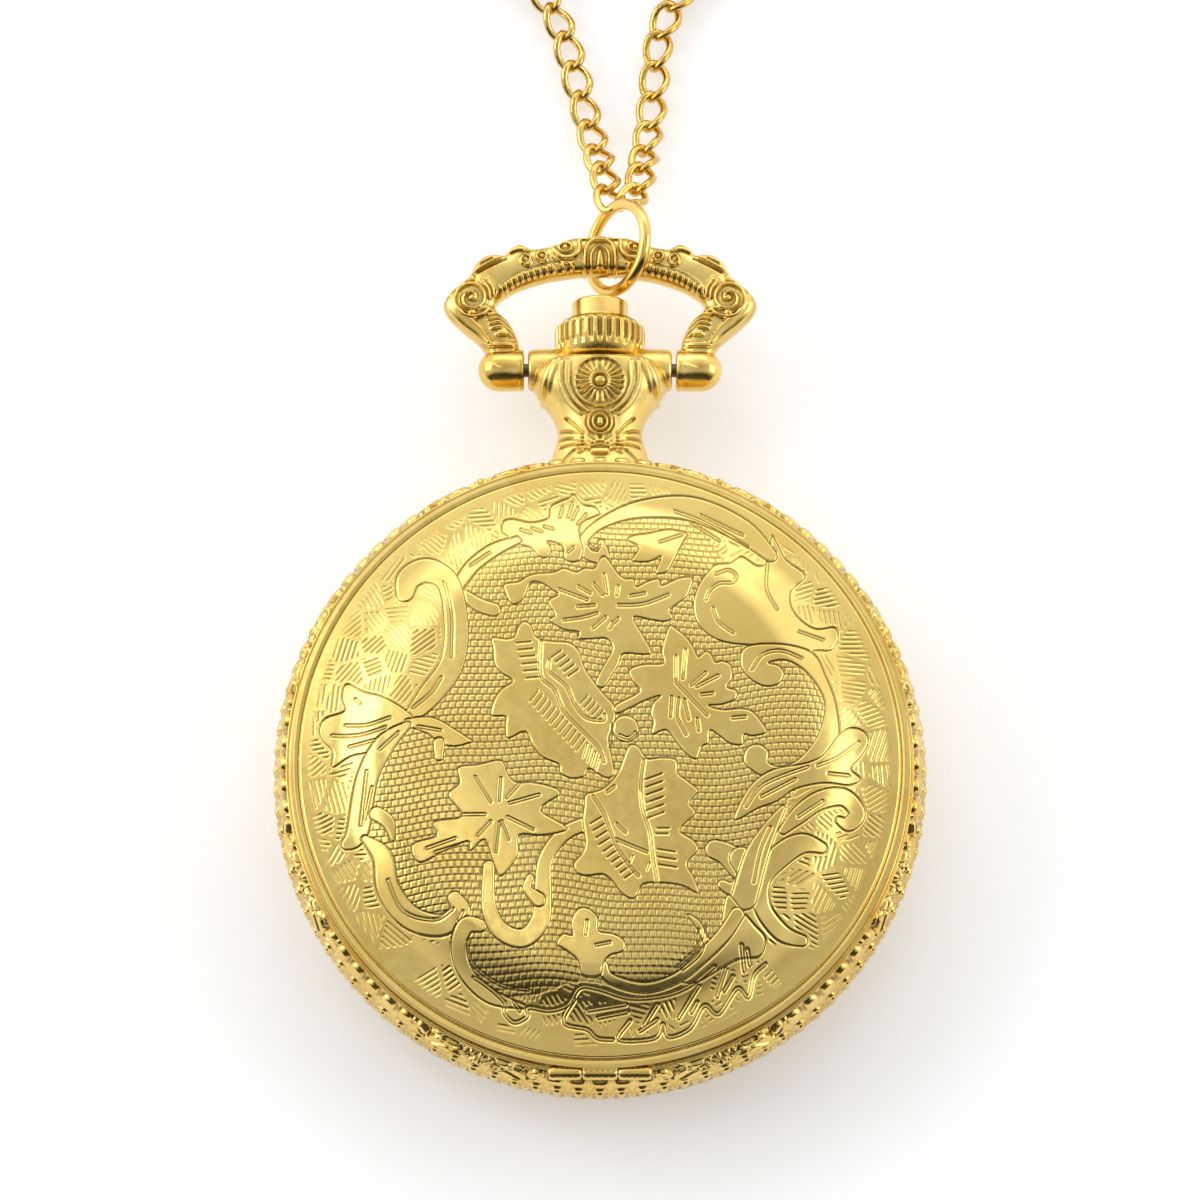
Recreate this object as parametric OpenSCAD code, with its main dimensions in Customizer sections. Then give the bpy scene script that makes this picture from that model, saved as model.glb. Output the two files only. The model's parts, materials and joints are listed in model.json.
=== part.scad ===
// Full-hunter pocket watch lying on its back: +Z out of the front cover, +Y towards 12 o'clock.
// The origin is the centre of the flat on the back cover. All sizes are in millimetres.

/* [Case] */
// Diameter over the case band
case_d = 47; // [46:0.5:48]
// Thickness from the flat of the back to the top of the front cover
case_h = 13.4; // [13.4:0.1:14]
// Thickness of the two covers' metal
cover_t = 0.7; // [0.6:0.05:0.8]
// Radius of the flat on the back cover
flat_r = 9; // [7:0.5:10]

/* [Pendant, crown and bow] */
// Height of the bow's pivot axis above the dial's centre, along +Y
pivot_y = 30.7; // [30.6:0.1:31]
// Diameter of the knurled ring of the crown
crown_d = 6.7; // [6.2:0.1:6.8]
// Number of flutes on the crown
crown_flutes = 30; // [24:1:36]
// Mean thickness of the bow's arms
bow_t = 2.6; // [2.4:0.1:2.8]
// Outer diameter of the jump ring
ring_d = 7.6; // [7.5:0.05:7.7]
// Wire diameter of the jump ring
ring_wire = 0.9; // [0.8:0.05:1]

/* [Movement] */
// Diameter of the movement's main plate
plate_d = 18.4; // [18:0.1:19]
// Diameter of the dial
dial_d = 39.6; // [39:0.1:39.8]
// Module of the second wheel and its pinion
train_m = 0.135; // [0.13:0.001:0.136]

/* [Chain] */
// Width of the chain's links
chain_d = 2.5; // [2.4:0.1:2.5]
// Mean diameter of the put-away coil
coil_d = 28; // [26:1:30]
// Turns lying side by side in the coil
coil_columns = 5; // [4:1:5]

/* [Hidden] */
$fn = 64;

gold = [0.88, 0.74, 0.32];
warm_gold = [0.86, 0.66, 0.22];
steel = [0.72, 0.73, 0.75];
brass = [0.80, 0.66, 0.38];
white = [0.95, 0.95, 0.93];
black_resin = [0.12, 0.12, 0.13];

eps = 0.02;
slip = 0.04;
case_r = case_d / 2;
mid_z = case_h / 2;
shoulder_r = case_r - 1.4;
shoulder_z = 3.9;
bore_r = case_r - 2.7;
lip_t = 1;
hollow_r = shoulder_r - lip_t;
snap_h = 2;
front_lip_z = mid_z + shoulder_z;
back_lip_z = mid_z - shoulder_z;

dome_h = case_h - front_lip_z;
edge_h = 0.35;

// A dome's height at radius r as a share of its middle's:
// a long crown, a steeper shoulder and a flatter flange
function ease(t) = t * t * (3 - 2 * t);
function shoulder_share(q) = ease(min(1, max(0, (q - 0.7) / 0.2)));
function dome_shape(r, edge_r) = 1 - 0.45 * pow(r / edge_r, 3) - 0.4 * shoulder_share(r / edge_r);
function dome_share(r, edge_r, flat) = min(1, dome_shape(r, edge_r) / dome_shape(flat, edge_r));

dial_z = 7.2;
dial_t = 0.35;
crystal_r = 18.6;
crystal_z = 9.35;
crystal_t = 1.0;
bezel_r = bore_r - 0.3;
bezel_seat = 0.5;
// Opening at 12 o'clock in the bezel, dial and holder, for the catch and the crown's stem
window_w = 6.4;
window_in = 1.4;
baton_l = 2.6;
baton_w = 0.7;
baton_at = 13.1;
dot_at = 17;

hinge_y = -(case_r - 1.2);
hinge_z = front_lip_z - 0.3;
hinge_r = 0.55;
hinge_pin_r = 0.25;
knuckle_w = 2.4;
hinge_gap = 0.12;
lug_w = 3;
catch_w = 4.8;
catch_t = 0.3;
catch_foot_z = 4.6;

axis_z = mid_z;
boss_r = 1.5;
boss_x = 5.2;
knuckle_r = 1.57;
knuckle_in = 5.65;
knuckle_mid = 7.5;
pin_r = 0.5;
pin_end = 7.1;
seat_y = 31.3;
tube_r = 2.1;
sleeve_r = tube_r - 0.45;
collet_r = 1.15;
stem_r = 0.45;
sleeve_y0 = 20.05;
collet_y0 = 27.2;
collet_y1 = 28.4;
stem_end = 34;
cap_r = 2.1;
cap_y = 36;
flute_depth = 0.3;
ring_c = [1.3, 40.4, mid_z];
ring_turn = 38;
bow_top_y = 39.1;

// Train: tooth counts, modules and places, with the second wheel at the dial's centre
rotor_pinion = 10;
fifth_teeth = 60;
fifth_pinion = 10;
second_teeth = 50;
second_pinion = 8;
third_teeth = 60;
third_pinion = 8;
centre_teeth = 64;
cannon_teeth = 12;
minute_teeth = 36;
minute_pinion = 10;
hour_teeth = 40;
rotor_m = 0.09;
third_m = 0.12;
centre_m = third_m * (second_pinion + third_teeth) / (third_pinion + centre_teeth);
cannon_m = 0.15;
hour_m = cannon_m * (cannon_teeth + minute_teeth) / (minute_pinion + hour_teeth);
fifth_at = 60;
rotor_at = 10;
third_at = 180;
minute_at = 300;
fifth_pos = (fifth_pinion + second_teeth) / 2 * train_m * [cos(fifth_at), sin(fifth_at)];
rotor_pos = fifth_pos + (rotor_pinion + fifth_teeth) / 2 * rotor_m * [cos(rotor_at), sin(rotor_at)];
third_pos = (second_pinion + third_teeth) / 2 * third_m * [cos(third_at), sin(third_at)];
minute_pos = (cannon_teeth + minute_teeth) / 2 * cannon_m * [cos(minute_at), sin(minute_at)];
battery_pos = [2.7, -6.7];
battery_r = 3.4;
battery_z = 3.1;
battery_h = 2;
battery_cap_h = 0.5;
bridge_z = 3.45;
holder_z = bridge_z + 0.75;
holder_pocket_at = 14.3;
holder_pocket_r = 3.2;
bridge_t = 0.45;
bridge_r = 6.2;
level_fifth = 4.15;
level_second = 4.55;
level_third = 4.9;
level_centre = 5.2;
pillar_angles = [20, 118, 240];
pillar_r = 5.3;
winding_l = 5.4;
flange_t = 0.3;
screw_h = 0.3;
plate_z = 5.65;
plate_t = 0.7;
level_cannon = 6.45;
level_hour = 6.78;
wheel_t = 0.2;
arbor_r = 0.15;
centre_tube_r = 0.6;
second_arbor_r = 0.16;
hour_pipe_r = 0.9;
hour_hand_z = 7.95;
minute_hand_z = 8.35;
second_hand_z = 8.75;
hand_t = 0.15;

// Chain: the routes' points, from the jump ring to the coil, lying on the surface past y = 50
chain_r = chain_d / 2;
left_route = [[0.6, 45.2, 5.3], [0.3, 47.5, 4], [-0.3, 50, 2.4], [-1, 53, 1.4], [-2, 57, 1.25],
    [-3.2, 61, 1.25], [-6, 66, 1.25], [-11, 71, 1.25], [-16, 76, 1.25]];
right_route = [[2.8, 45.4, 5.3], [3.2, 47.7, 4], [3.5, 50, 2.4], [3.9, 53, 1.4], [4.3, 57, 1.25],
    [5, 61, 1.25], [8, 66, 1.3], [12.5, 70.5, 2.2], [16.5, 75.5, 3.4]];
coil_centre = [0, 87];
coil_in_r = coil_d / 2 - coil_columns * chain_d / 2;
coil_h = 2 * chain_d;

// ---------- shared shapes ----------

// A straight rod along +Y, centred on the crown's axis
module y_rod(r, y0, y1) {
    translate([0, y0, axis_z])
        rotate([-90, 0, 0])
            cylinder(r = r, h = y1 - y0);
}

// A straight rod along +X
module x_rod(r, x0, x1, y, z) {
    translate([x0, y, z])
        rotate([0, 90, 0])
            cylinder(r = r, h = x1 - x0);
}

// Outline of a gear with straight-flanked teeth, one tooth centred on the +X axis
function gear_points(teeth, m) = [
    for (i = [0 : teeth - 1])
        for (c = [[-0.30, -1.2], [-0.13, 0.85], [0.13, 0.85], [0.30, -1.2]])
            let (a = 360 * (i + c[0]) / teeth, r = m * (teeth / 2 + c[1]))
                [r * cos(a), r * sin(a)]
];

module gear(teeth, m, height, turn) {
    rotate(turn)
        linear_extrude(height)
            polygon(gear_points(teeth, m));
}

// The driving gear puts a tooth, and the driven gear a gap, on the line between their centres
function driving_turn(line_angle) = line_angle;
function driven_turn(line_angle, teeth) = line_angle + 180 + 180 / teeth;

module arbor(r, z0, z1) {
    translate([0, 0, z0])
        cylinder(r = r, h = z1 - z0, $fn = 24);
}

// Steps along a smooth curve through the points of a route
function spline_point(p, i, t) =
    let (
        a = p[max(i - 1, 0)],
        b = p[i],
        c = p[i + 1],
        d = p[min(i + 2, len(p) - 1)]
    )
    0.5 * (2 * b + (c - a) * t + (2 * a - 5 * b + 4 * c - d) * t * t + (3 * b - a - 3 * c + d) * t * t * t);
function route_curve(p, steps) = [
    for (i = [0 : len(p) - 2])
        for (k = [0 : steps - 1])
            spline_point(p, i, k / steps),
    p[len(p) - 1]
];
function unit(v) = v / norm(v);

// A round tube swept along a curve that never points straight up
module swept_tube(curve, r, sides) {
    n = len(curve);
    rings = [
        for (i = [0 : n - 1])
            let (
                along = unit(curve[min(i + 1, n - 1)] - curve[max(i - 1, 0)]),
                side = unit(cross(along, [0, 0, 1])),
                up = cross(side, along)
            )
            for (k = [0 : sides - 1])
                curve[i] + r * (cos(360 * (k + 0.5) / sides) * side + sin(360 * (k + 0.5) / sides) * up)
    ];
    faces = concat(
        [[for (k = [sides - 1 : -1 : 0]) k]],
        [for (i = [0 : n - 2])
            for (k = [0 : sides - 1])
                [
                    i * sides + k, i * sides + (k + 1) % sides,
                    (i + 1) * sides + (k + 1) % sides, (i + 1) * sides + k
                ]],
        [[for (k = [0 : sides - 1]) (n - 1) * sides + k]]
    );
    polyhedron(rings, faces, convexity = 6);
}

// ---------- case ----------

// Section of the band, from its inner wall at the given radius out to its widest circle
module band_solid(inner_r) {
    rotate_extrude($fn = 128)
        polygon([
            [inner_r, back_lip_z + 0.75], [bore_r, back_lip_z + 0.75], [shoulder_r, back_lip_z + 0.05],
            [shoulder_r + 0.35, back_lip_z + 0.15], [case_r - 0.25, mid_z - 1.6], [case_r, mid_z - 0.7],
            [case_r, mid_z + 0.7], [case_r - 0.25, mid_z + 1.6], [shoulder_r + 0.35, front_lip_z - 0.15],
            [shoulder_r, front_lip_z - 0.05], [bore_r, front_lip_z - 0.75], [inner_r, front_lip_z - 0.75]
        ]);
}

module case_band() {
    color(warm_gold)
        difference() {
            union() {
                band_solid(bore_r);
                for (side = [-1, 1])
                    x_rod(hinge_r, side > 0 ? knuckle_w / 2 + hinge_gap : -1.5 * knuckle_w,
                        side > 0 ? 1.5 * knuckle_w : -knuckle_w / 2 - hinge_gap, hinge_y, hinge_z);
            }
            x_rod(hinge_r + 0.15, -knuckle_w / 2 - hinge_gap, knuckle_w / 2 + hinge_gap, hinge_y, hinge_z);
            translate([-knuckle_w / 2 - hinge_gap, hinge_y, hinge_z])
                cube([knuckle_w + 2 * hinge_gap, 2, 2]);
            x_rod(hinge_pin_r, -2 * knuckle_w, 2 * knuckle_w, hinge_y, hinge_z);
            y_rod(tube_r, bore_r - 2, case_r + 2);
        }
}

module pendant() {
    color(gold)
        difference() {
            union() {
                translate([0, 0, axis_z])
                    rotate([-90, 0, 0])
                        rotate_extrude()
                            polygon([
                                [0, 22.4], [4.3, 22.4], [3.7, 24], [3.15, 25.2], [3.05, 26.2],
                                [3.3, 27.6], [3.7, 29], [3.9, 30.2], [3.85, seat_y], [0, seat_y]
                            ]);
                x_rod(boss_r, -boss_x, boss_x, pivot_y, axis_z);
            }
            band_solid(0);
            y_rod(tube_r, 20, seat_y + 1);
            y_rod(crown_d / 2 - 0.2, pivot_y - 0.4, seat_y + 1);
            y_rod(crown_d / 2 + 0.15, seat_y + 0.3, pivot_y + boss_r + 0.1);
            for (side = [-1, 1])
                x_rod(pin_r, side > 0 ? 3.7 : -boss_x - 1, side > 0 ? boss_x + 1 : -3.7, pivot_y, axis_z);
        }
}

module pendant_tube() {
    color(brass)
        difference() {
            y_rod(tube_r, bore_r, pivot_y - 0.9);
            y_rod(sleeve_r + slip, bore_r - 1, pivot_y);
        }
}

// Outline of half a dome from its edge to its axis, standing on a rim of height edge_h
function dome_outline(edge_r, height, rim, flat) = concat(
    [for (a = [90 : -7.5 : 0])
        if (edge_r * sin(a) > flat)
            [edge_r * sin(a), rim + (height - rim) * dome_share(edge_r * sin(a), edge_r, flat)]],
    [[flat, height], [0, height]]
);

// The outside of a cover
module cover_form(height, flat) {
    rotate_extrude($fn = 128)
        polygon(concat([[0, 0], [shoulder_r, 0]], dome_outline(shoulder_r, height, edge_h, flat)));
}

// The space inside a cover, one wall thickness smaller
module cover_hollow(height) {
    rotate_extrude($fn = 128)
        polygon(concat([[0, -eps], [hollow_r, -eps]], dome_outline(hollow_r, height - cover_t, 0.1, 1)));
}

module cover_shell(height, flat) {
    difference() {
        cover_form(height, flat);
        cover_hollow(height);
    }
}

module back_cover() {
    color(gold) {
        translate([0, 0, back_lip_z])
            mirror([0, 0, 1])
                cover_shell(back_lip_z, flat_r);
        difference() {
            union() {
                translate([0, 0, back_lip_z - 0.45])
                    cylinder(r = shoulder_r - 0.5, h = 0.45, $fn = 128);
                translate([0, 0, back_lip_z - 0.45])
                    cylinder(r = bore_r, h = snap_h, $fn = 128);
            }
            translate([0, 0, -1])
                cylinder(r = bore_r - 0.7, h = 2 * case_h, $fn = 128);
        }
    }
}

module back_gasket() {
    color(black_resin)
        translate([0, 0, back_lip_z - 0.45 + snap_h + 0.24])
            rotate_extrude($fn = 96)
                translate([bore_r - 0.32, 0])
                    circle(r = 0.24, $fn = 24);
}

module bezel() {
    color(gold)
        difference() {
            rotate_extrude($fn = 128)
                polygon([
                    [dial_d / 2 - 1.3, dial_z + dial_t], [bezel_r - 0.4, dial_z + dial_t],
                    [bezel_r - 0.4, front_lip_z - 1.5], [bezel_r, front_lip_z - 1.1],
                    [bezel_r, front_lip_z - 0.75],
                    [crystal_r + 0.3, front_lip_z - 0.15], [crystal_r, front_lip_z - 0.35],
                    [crystal_r, crystal_z], [crystal_r - bezel_seat, crystal_z]
                ]);
            translate([-window_w / 2, bezel_r - window_in, dial_z - 1])
                cube([window_w, 2, 6]);
        }
}

module crystal() {
    color([0.85, 0.92, 0.95, 0.35])
        translate([0, 0, crystal_z])
            cylinder(r = crystal_r - slip, h = crystal_t - 0.1, $fn = 128);
}

module dial() {
    color(white)
        translate([0, 0, dial_z])
            difference() {
                cylinder(r = dial_d / 2, h = dial_t, $fn = 96);
                translate([0, 0, -1])
                    cylinder(r = hour_pipe_r + 0.3, h = 3);
                translate([-window_w / 2, dial_d / 2 - 0.8, -1])
                    cube([window_w, 2, 3]);
            }
}

// Twelve raised hour batons and sixty minute dots
module dial_markers() {
    color(warm_gold)
        translate([0, 0, dial_z + dial_t]) {
            for (h = [0 : 11])
                rotate(30 * h)
                    translate([baton_at, -baton_w / 2, 0])
                        cube([baton_l, baton_w, 0.14]);
            for (m = [0 : 59])
                rotate(6 * m)
                    translate([dot_at, 0, 0])
                        cylinder(r = 0.16, h = 0.1, $fn = 16);
        }
}

// ---------- movement ----------

module movement_holder() {
    color([0.85, 0.85, 0.82])
        difference() {
            translate([0, 0, holder_z])
                cylinder(r = bore_r - 1, h = dial_z - holder_z, $fn = 96);
            cylinder(r = plate_d / 2 + 0.1, h = case_h);
            for (a = [30 : 60 : 330])
                rotate(a)
                    translate([holder_pocket_at, 0, bridge_z])
                        cylinder(r = holder_pocket_r, h = 2.4);
            translate([battery_pos[0], battery_pos[1], 0])
                cylinder(r = battery_r + 0.2, h = plate_z);
            y_rod(sleeve_r + 0.6, 17, bore_r + 1);
            y_rod(stem_r + 0.3, plate_d / 2 - 1, bore_r + 1);
            translate([-window_w / 2, bore_r - 2.6, 0])
                cube([window_w, 4, case_h]);
        }
}

module main_plate() {
    color(steel)
        difference() {
            translate([0, 0, plate_z])
                cylinder(r = plate_d / 2, h = plate_t);
            translate([0, 0, plate_z - 1])
                cylinder(r = centre_tube_r + 0.05, h = 3);
            for (p = [fifth_pos, rotor_pos, third_pos, minute_pos])
                translate([p[0], p[1], plate_z - 1])
                    cylinder(r = arbor_r + 0.03, h = 3, $fn = 24);
            translate([-stem_r - 0.25, 4.6, plate_z - 1])
                cube([2 * stem_r + 0.5, 10, 3]);
        }
}

module train_bridge() {
    color(steel)
        difference() {
            union() {
                translate([0, 0, bridge_z])
                    cylinder(r = bridge_r, h = bridge_t);
                translate([rotor_pos[0], rotor_pos[1], bridge_z])
                    cylinder(r = 1.7, h = bridge_t);
                for (a = pillar_angles)
                    rotate(a)
                        translate([pillar_r, 0, bridge_z + bridge_t / 2])
                            cylinder(r = 0.5, h = plate_z - bridge_z - bridge_t / 2);
            }
            translate([battery_pos[0], battery_pos[1], 0])
                cylinder(r = battery_r + 0.1, h = plate_z);
            for (p = [fifth_pos, rotor_pos, third_pos, [0, 0]])
                translate([p[0], p[1], bridge_z - 1])
                    cylinder(r = arbor_r + 0.03, h = 3, $fn = 24);
        }
}

module circuit_board() {
    color([0.15, 0.35, 0.2])
        difference() {
            translate([-8.6, -2.8, bridge_z])
                cube([2.3, 5.6, 0.4]);
            translate([-7.5, -2, bridge_z - 1])
                cylinder(r = 0.25, h = 3);
        }
}

module coil_winding() {
    color([0.75, 0.4, 0.2])
        translate([-6.3, 4.4, 4.9])
            rotate([0, 90, 34]) {
                cylinder(r = 0.55, h = winding_l);
                for (x = [-flange_t, winding_l])
                    translate([0, 0, x])
                        cylinder(r = 0.64, h = flange_t);
            }
}

module stator() {
    color([0.55, 0.55, 0.58])
        difference() {
            translate([rotor_pos[0] - 1.6, rotor_pos[1] - 1.6, 4.75])
                cube([3.6, 3.6, 0.4]);
            translate([rotor_pos[0], rotor_pos[1], 0])
                cylinder(r = 1.2, h = 10);
        }
}

module battery() {
    color(steel)
        translate([battery_pos[0], battery_pos[1], battery_z]) {
            cylinder(r = battery_r, h = battery_h);
            translate([0, 0, battery_h])
                cylinder(r = battery_r - 0.8, h = battery_cap_h);
        }
}

module battery_strap() {
    color(steel)
        translate([-2.6, -6.6, bridge_z - 0.6]) {
            difference() {
                translate([-1.4, 0, 0.2])
                    cube([6.2, 1, 0.05]);
                translate([-0.7, 0.5, -1])
                    cylinder(r = 0.25, h = 3);
            }
            translate([-1.4, 0, 0.25])
                cube([0.3, 1, plate_z - bridge_z + 0.35]);
        }
}

module movement_screws() {
    color(steel)
        for (a = pillar_angles)
            rotate(a)
                translate([pillar_r, 0, bridge_z - screw_h])
                    difference() {
                        cylinder(r = 0.55, h = screw_h);
                        translate([-1, -0.1, -eps])
                            cube([2, 0.2, 0.12]);
                    }
}

// ---------- hinge, spring and catch ----------

module hinge_pin() {
    color(steel)
        x_rod(hinge_pin_r, -1.5 * knuckle_w, 1.5 * knuckle_w, hinge_y, hinge_z);
}

module lid_spring() {
    color(steel)
        rotate_extrude(angle = 50, start = -115, $fn = 96)
            translate([bore_r - 0.6, dial_z + 0.9])
                square([0.25, 0.9]);
}

module front_cover() {
    color(gold)
        difference() {
            union() {
                translate([0, 0, front_lip_z])
                    cover_shell(dome_h, 1);
                x_rod(hinge_r, -knuckle_w / 2, knuckle_w / 2, hinge_y, hinge_z);
                translate([-knuckle_w / 2, hinge_y, hinge_z + 0.1])
                    cube([knuckle_w, 1.2, hinge_r - 0.1]);
                translate([-lug_w / 2, bore_r - 0.4, front_lip_z - 0.5])
                    cube([lug_w, 0.35, 0.6]);
                translate([-lug_w / 2, bore_r - 0.4, front_lip_z])
                    cube([lug_w, 1, 0.4]);
            }
            for (side = [-1, 1])
                x_rod(hinge_r + 0.12, side > 0 ? knuckle_w / 2 : -1.5 * knuckle_w - 0.1,
                    side > 0 ? 1.5 * knuckle_w + 0.1 : -knuckle_w / 2, hinge_y, hinge_z);
            x_rod(hinge_pin_r + slip, -knuckle_w, knuckle_w, hinge_y, hinge_z);
        }
}

// Spring strip with a hook that holds the cover's lip, bent at its foot
module lid_catch() {
    color(steel)
        difference() {
            translate([-catch_w / 2, 0, 0]) {
                translate([0, bore_r - 1.1, catch_foot_z])
                    cube([catch_w, catch_t, front_lip_z - catch_foot_z - 0.25]);
                translate([0, bore_r - 1.1 + catch_t, front_lip_z - 0.65])
                    cube([catch_w, 0.35, 0.4]);
            }
            y_rod(stem_r + 0.3, bore_r - 2, bore_r);
        }
}

module push_sleeve() {
    color(brass)
        difference() {
            y_rod(sleeve_r, sleeve_y0, pivot_y - 1.2);
            y_rod(stem_r + 0.25, sleeve_y0 - 1, pivot_y);
            y_rod(collet_r + slip, sleeve_y0 + 5, pivot_y);
        }
}

module stem_collet() {
    color(steel)
        difference() {
            y_rod(collet_r, collet_y0, collet_y1);
            y_rod(stem_r + slip, collet_y0 - 1, collet_y1 + 1);
        }
}

module crown() {
    color(warm_gold)
        difference() {
            translate([0, 0, axis_z])
                rotate([-90, 0, 0]) {
                    rotate_extrude()
                        polygon([
                            [0, pivot_y + 0.35], [cap_r, pivot_y + 0.35], [2.7, 31.6],
                            [crown_d / 2 - 0.25, 32.1],
                            [crown_d / 2 - 0.25, 34.3], [2.6, 34.45], [cap_r, 34.5], [cap_r, cap_y - 0.2],
                            [cap_r - 0.2, cap_y], [0, cap_y]
                        ]);
                    translate([0, 0, 32.2])
                        linear_extrude(2)
                            polygon([
                                for (i = [0 : 4 * crown_flutes - 1])
                                    let (
                                        a = 90 * i / crown_flutes,
                                        r = crown_d / 2 - (i % 4 < 2 ? 0 : flute_depth)
                                    )
                                        [r * cos(a), r * sin(a)]
                            ]);
                }
            y_rod(stem_r, pivot_y - 2, stem_end);
        }
}

module stem() {
    color(steel) {
        y_rod(stem_r, 6.2, collet_y0 - 0.05);
        y_rod(stem_r - slip, collet_y0 - 0.05, collet_y1 + 0.05);
        y_rod(stem_r, collet_y1 + 0.05, stem_end);
        y_rod(stem_r + 0.2, collet_y0 - 0.3, collet_y0 - 0.05);
        y_rod(stem_r + 0.2, collet_y1 + 0.05, collet_y1 + 0.3);
    }
}

// ---------- bow and ring ----------

// Half of the bow's centre line, from the ball at the pivot to the top of the arch
bow_route = [[7.2, 31.7], [7.5, 32.7], [8.6, 34.2], [10, 35.8], [9.3, 37.4], [7.1, 38], [4.3, 38.6],
    [2, 39], [0, bow_top_y]];
bow_line = concat(
    [for (p = bow_route) [-p[0], p[1], axis_z]],
    [for (i = [len(bow_route) - 2 : -1 : 0]) [bow_route[i][0], bow_route[i][1], axis_z]]
);

// A knuckle with a ball end and a blind hole for the bow's pin, pointing along +X
module knuckle() {
    translate([0, pivot_y, axis_z])
        rotate([0, 90, 0])
            rotate_extrude()
                polygon(concat(
                    [[pin_r + slip, knuckle_in], [knuckle_r, knuckle_in]],
                    [for (a = [0 : 10 : 90]) [knuckle_r * cos(a), knuckle_mid + knuckle_r * sin(a)]],
                    [[0, pin_end + slip], [pin_r + slip, pin_end + slip]]
                ));
}

module bow() {
    color(gold) {
        swept_tube(route_curve(bow_line, 2), bow_t / 2, 12);
        knuckle();
        mirror([1, 0, 0])
            knuckle();
    }
}

module bow_pins() {
    color(steel)
        for (side = [-1, 1])
            x_rod(pin_r, side > 0 ? 3.7 : -pin_end, side > 0 ? pin_end : -3.7, pivot_y, axis_z);
}

module jump_ring() {
    color(warm_gold)
        translate(ring_c)
            rotate([0, ring_turn, 0])
                rotate([0, 90, 0])
                    rotate_extrude($fn = 48)
                        translate([(ring_d - ring_wire) / 2, 0])
                            circle(d = ring_wire, $fn = 24);
}

// ---------- hands ----------

module hand(length, tail, width, z, hub_r, bore) {
    translate([0, 0, z])
        difference() {
            union() {
                cylinder(r = hub_r, h = hand_t);
                linear_extrude(hand_t)
                    polygon([
                        [-width / 2, -tail], [width / 2, -tail], [width / 2, 0], [width * 0.8, length * 0.6],
                        [0, length], [-width * 0.8, length * 0.6], [-width / 2, 0]
                    ]);
            }
            translate([0, 0, -1])
                cylinder(r = bore, h = 3, $fn = 32);
        }
}

module hour_hand() {
    color(black_resin)
        rotate(60)
            hand(9, 1.5, 0.9, hour_hand_z, 1.5, hour_pipe_r);
}

module minute_hand() {
    color(black_resin)
        rotate(-60)
            hand(14, 2, 0.7, minute_hand_z, 1.1, centre_tube_r);
}

module second_hand() {
    color(black_resin)
        rotate(-150)
            hand(15, 4, 0.25, second_hand_z, 0.6, second_arbor_r);
}

// ---------- gear train ----------

module rotor() {
    color(steel)
        translate([rotor_pos[0], rotor_pos[1], 0]) {
            arbor(arbor_r, bridge_z + 0.05, plate_z + 0.4);
            translate([0, 0, level_fifth - 0.05])
                gear(rotor_pinion, rotor_m, 0.35, driven_turn(rotor_at, rotor_pinion) + 180);
            translate([0, 0, 4.7])
                cylinder(r = 1, h = 0.6);
        }
}

module fifth_wheel() {
    color(brass)
        translate([fifth_pos[0], fifth_pos[1], 0]) {
            arbor(arbor_r, bridge_z + 0.05, plate_z + 0.4);
            translate([0, 0, level_fifth])
                gear(fifth_teeth, rotor_m, wheel_t, driving_turn(rotor_at) + 180 / fifth_teeth);
            translate([0, 0, level_fifth + wheel_t])
                gear(fifth_pinion, train_m, 0.5, driving_turn(fifth_at));
        }
}

module second_wheel() {
    color(brass) {
        arbor(arbor_r, bridge_z + 0.05, level_second);
        arbor(second_arbor_r, level_second, second_hand_z + hand_t);
        translate([0, 0, level_second])
            gear(second_teeth, train_m, wheel_t, driven_turn(fifth_at + 180, second_teeth));
        translate([0, 0, level_second + wheel_t])
            gear(second_pinion, third_m, 0.35, driving_turn(third_at));
    }
}

module third_wheel() {
    color(brass)
        translate([third_pos[0], third_pos[1], 0]) {
            arbor(arbor_r, bridge_z + 0.05, plate_z + 0.4);
            translate([0, 0, level_third - 0.05])
                gear(third_teeth, third_m, wheel_t, driven_turn(third_at, third_teeth));
            translate([0, 0, level_third + 0.15])
                gear(third_pinion, centre_m, 0.4, driving_turn(third_at));
        }
}

module centre_wheel() {
    color(brass)
        difference() {
            union() {
                translate([0, 0, level_centre])
                    gear(centre_teeth, centre_m, wheel_t, driven_turn(third_at + 180, centre_teeth));
                arbor(centre_tube_r, level_centre, minute_hand_z + hand_t);
                translate([0, 0, level_cannon])
                    gear(cannon_teeth, cannon_m, 0.3, driving_turn(minute_at));
            }
            translate([0, 0, level_centre - 1])
                cylinder(r = second_arbor_r + slip, h = 6, $fn = 32);
        }
}

module minute_wheel() {
    color(brass)
        translate([minute_pos[0], minute_pos[1], 0]) {
            arbor(arbor_r, plate_z + 0.1, level_hour + wheel_t);
            translate([0, 0, level_cannon + 0.05])
                gear(minute_teeth, cannon_m, wheel_t, driven_turn(minute_at, minute_teeth));
            translate([0, 0, level_cannon + 0.05 + wheel_t])
                gear(minute_pinion, hour_m, 0.3, driving_turn(minute_at));
        }
}

module hour_wheel() {
    color(brass)
        difference() {
            union() {
                translate([0, 0, level_hour])
                    gear(hour_teeth, hour_m, wheel_t, driven_turn(minute_at + 180, hour_teeth));
                arbor(hour_pipe_r, level_hour, hour_hand_z + hand_t);
            }
            translate([0, 0, level_hour - 1])
                cylinder(r = centre_tube_r + slip, h = 6, $fn = 32);
        }
}

// ---------- chain ----------

module chain_left() {
    color(warm_gold)
        swept_tube(route_curve(left_route, 2), chain_r, 8);
}

module chain_right() {
    color(warm_gold)
        swept_tube(route_curve(right_route, 2), chain_r, 8);
}

module chain_coil() {
    color(warm_gold)
        translate([coil_centre[0], coil_centre[1], 0])
            rotate_extrude($fn = 96)
                translate([coil_in_r, 0])
                    square([coil_columns * chain_d, coil_h]);
}

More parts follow.
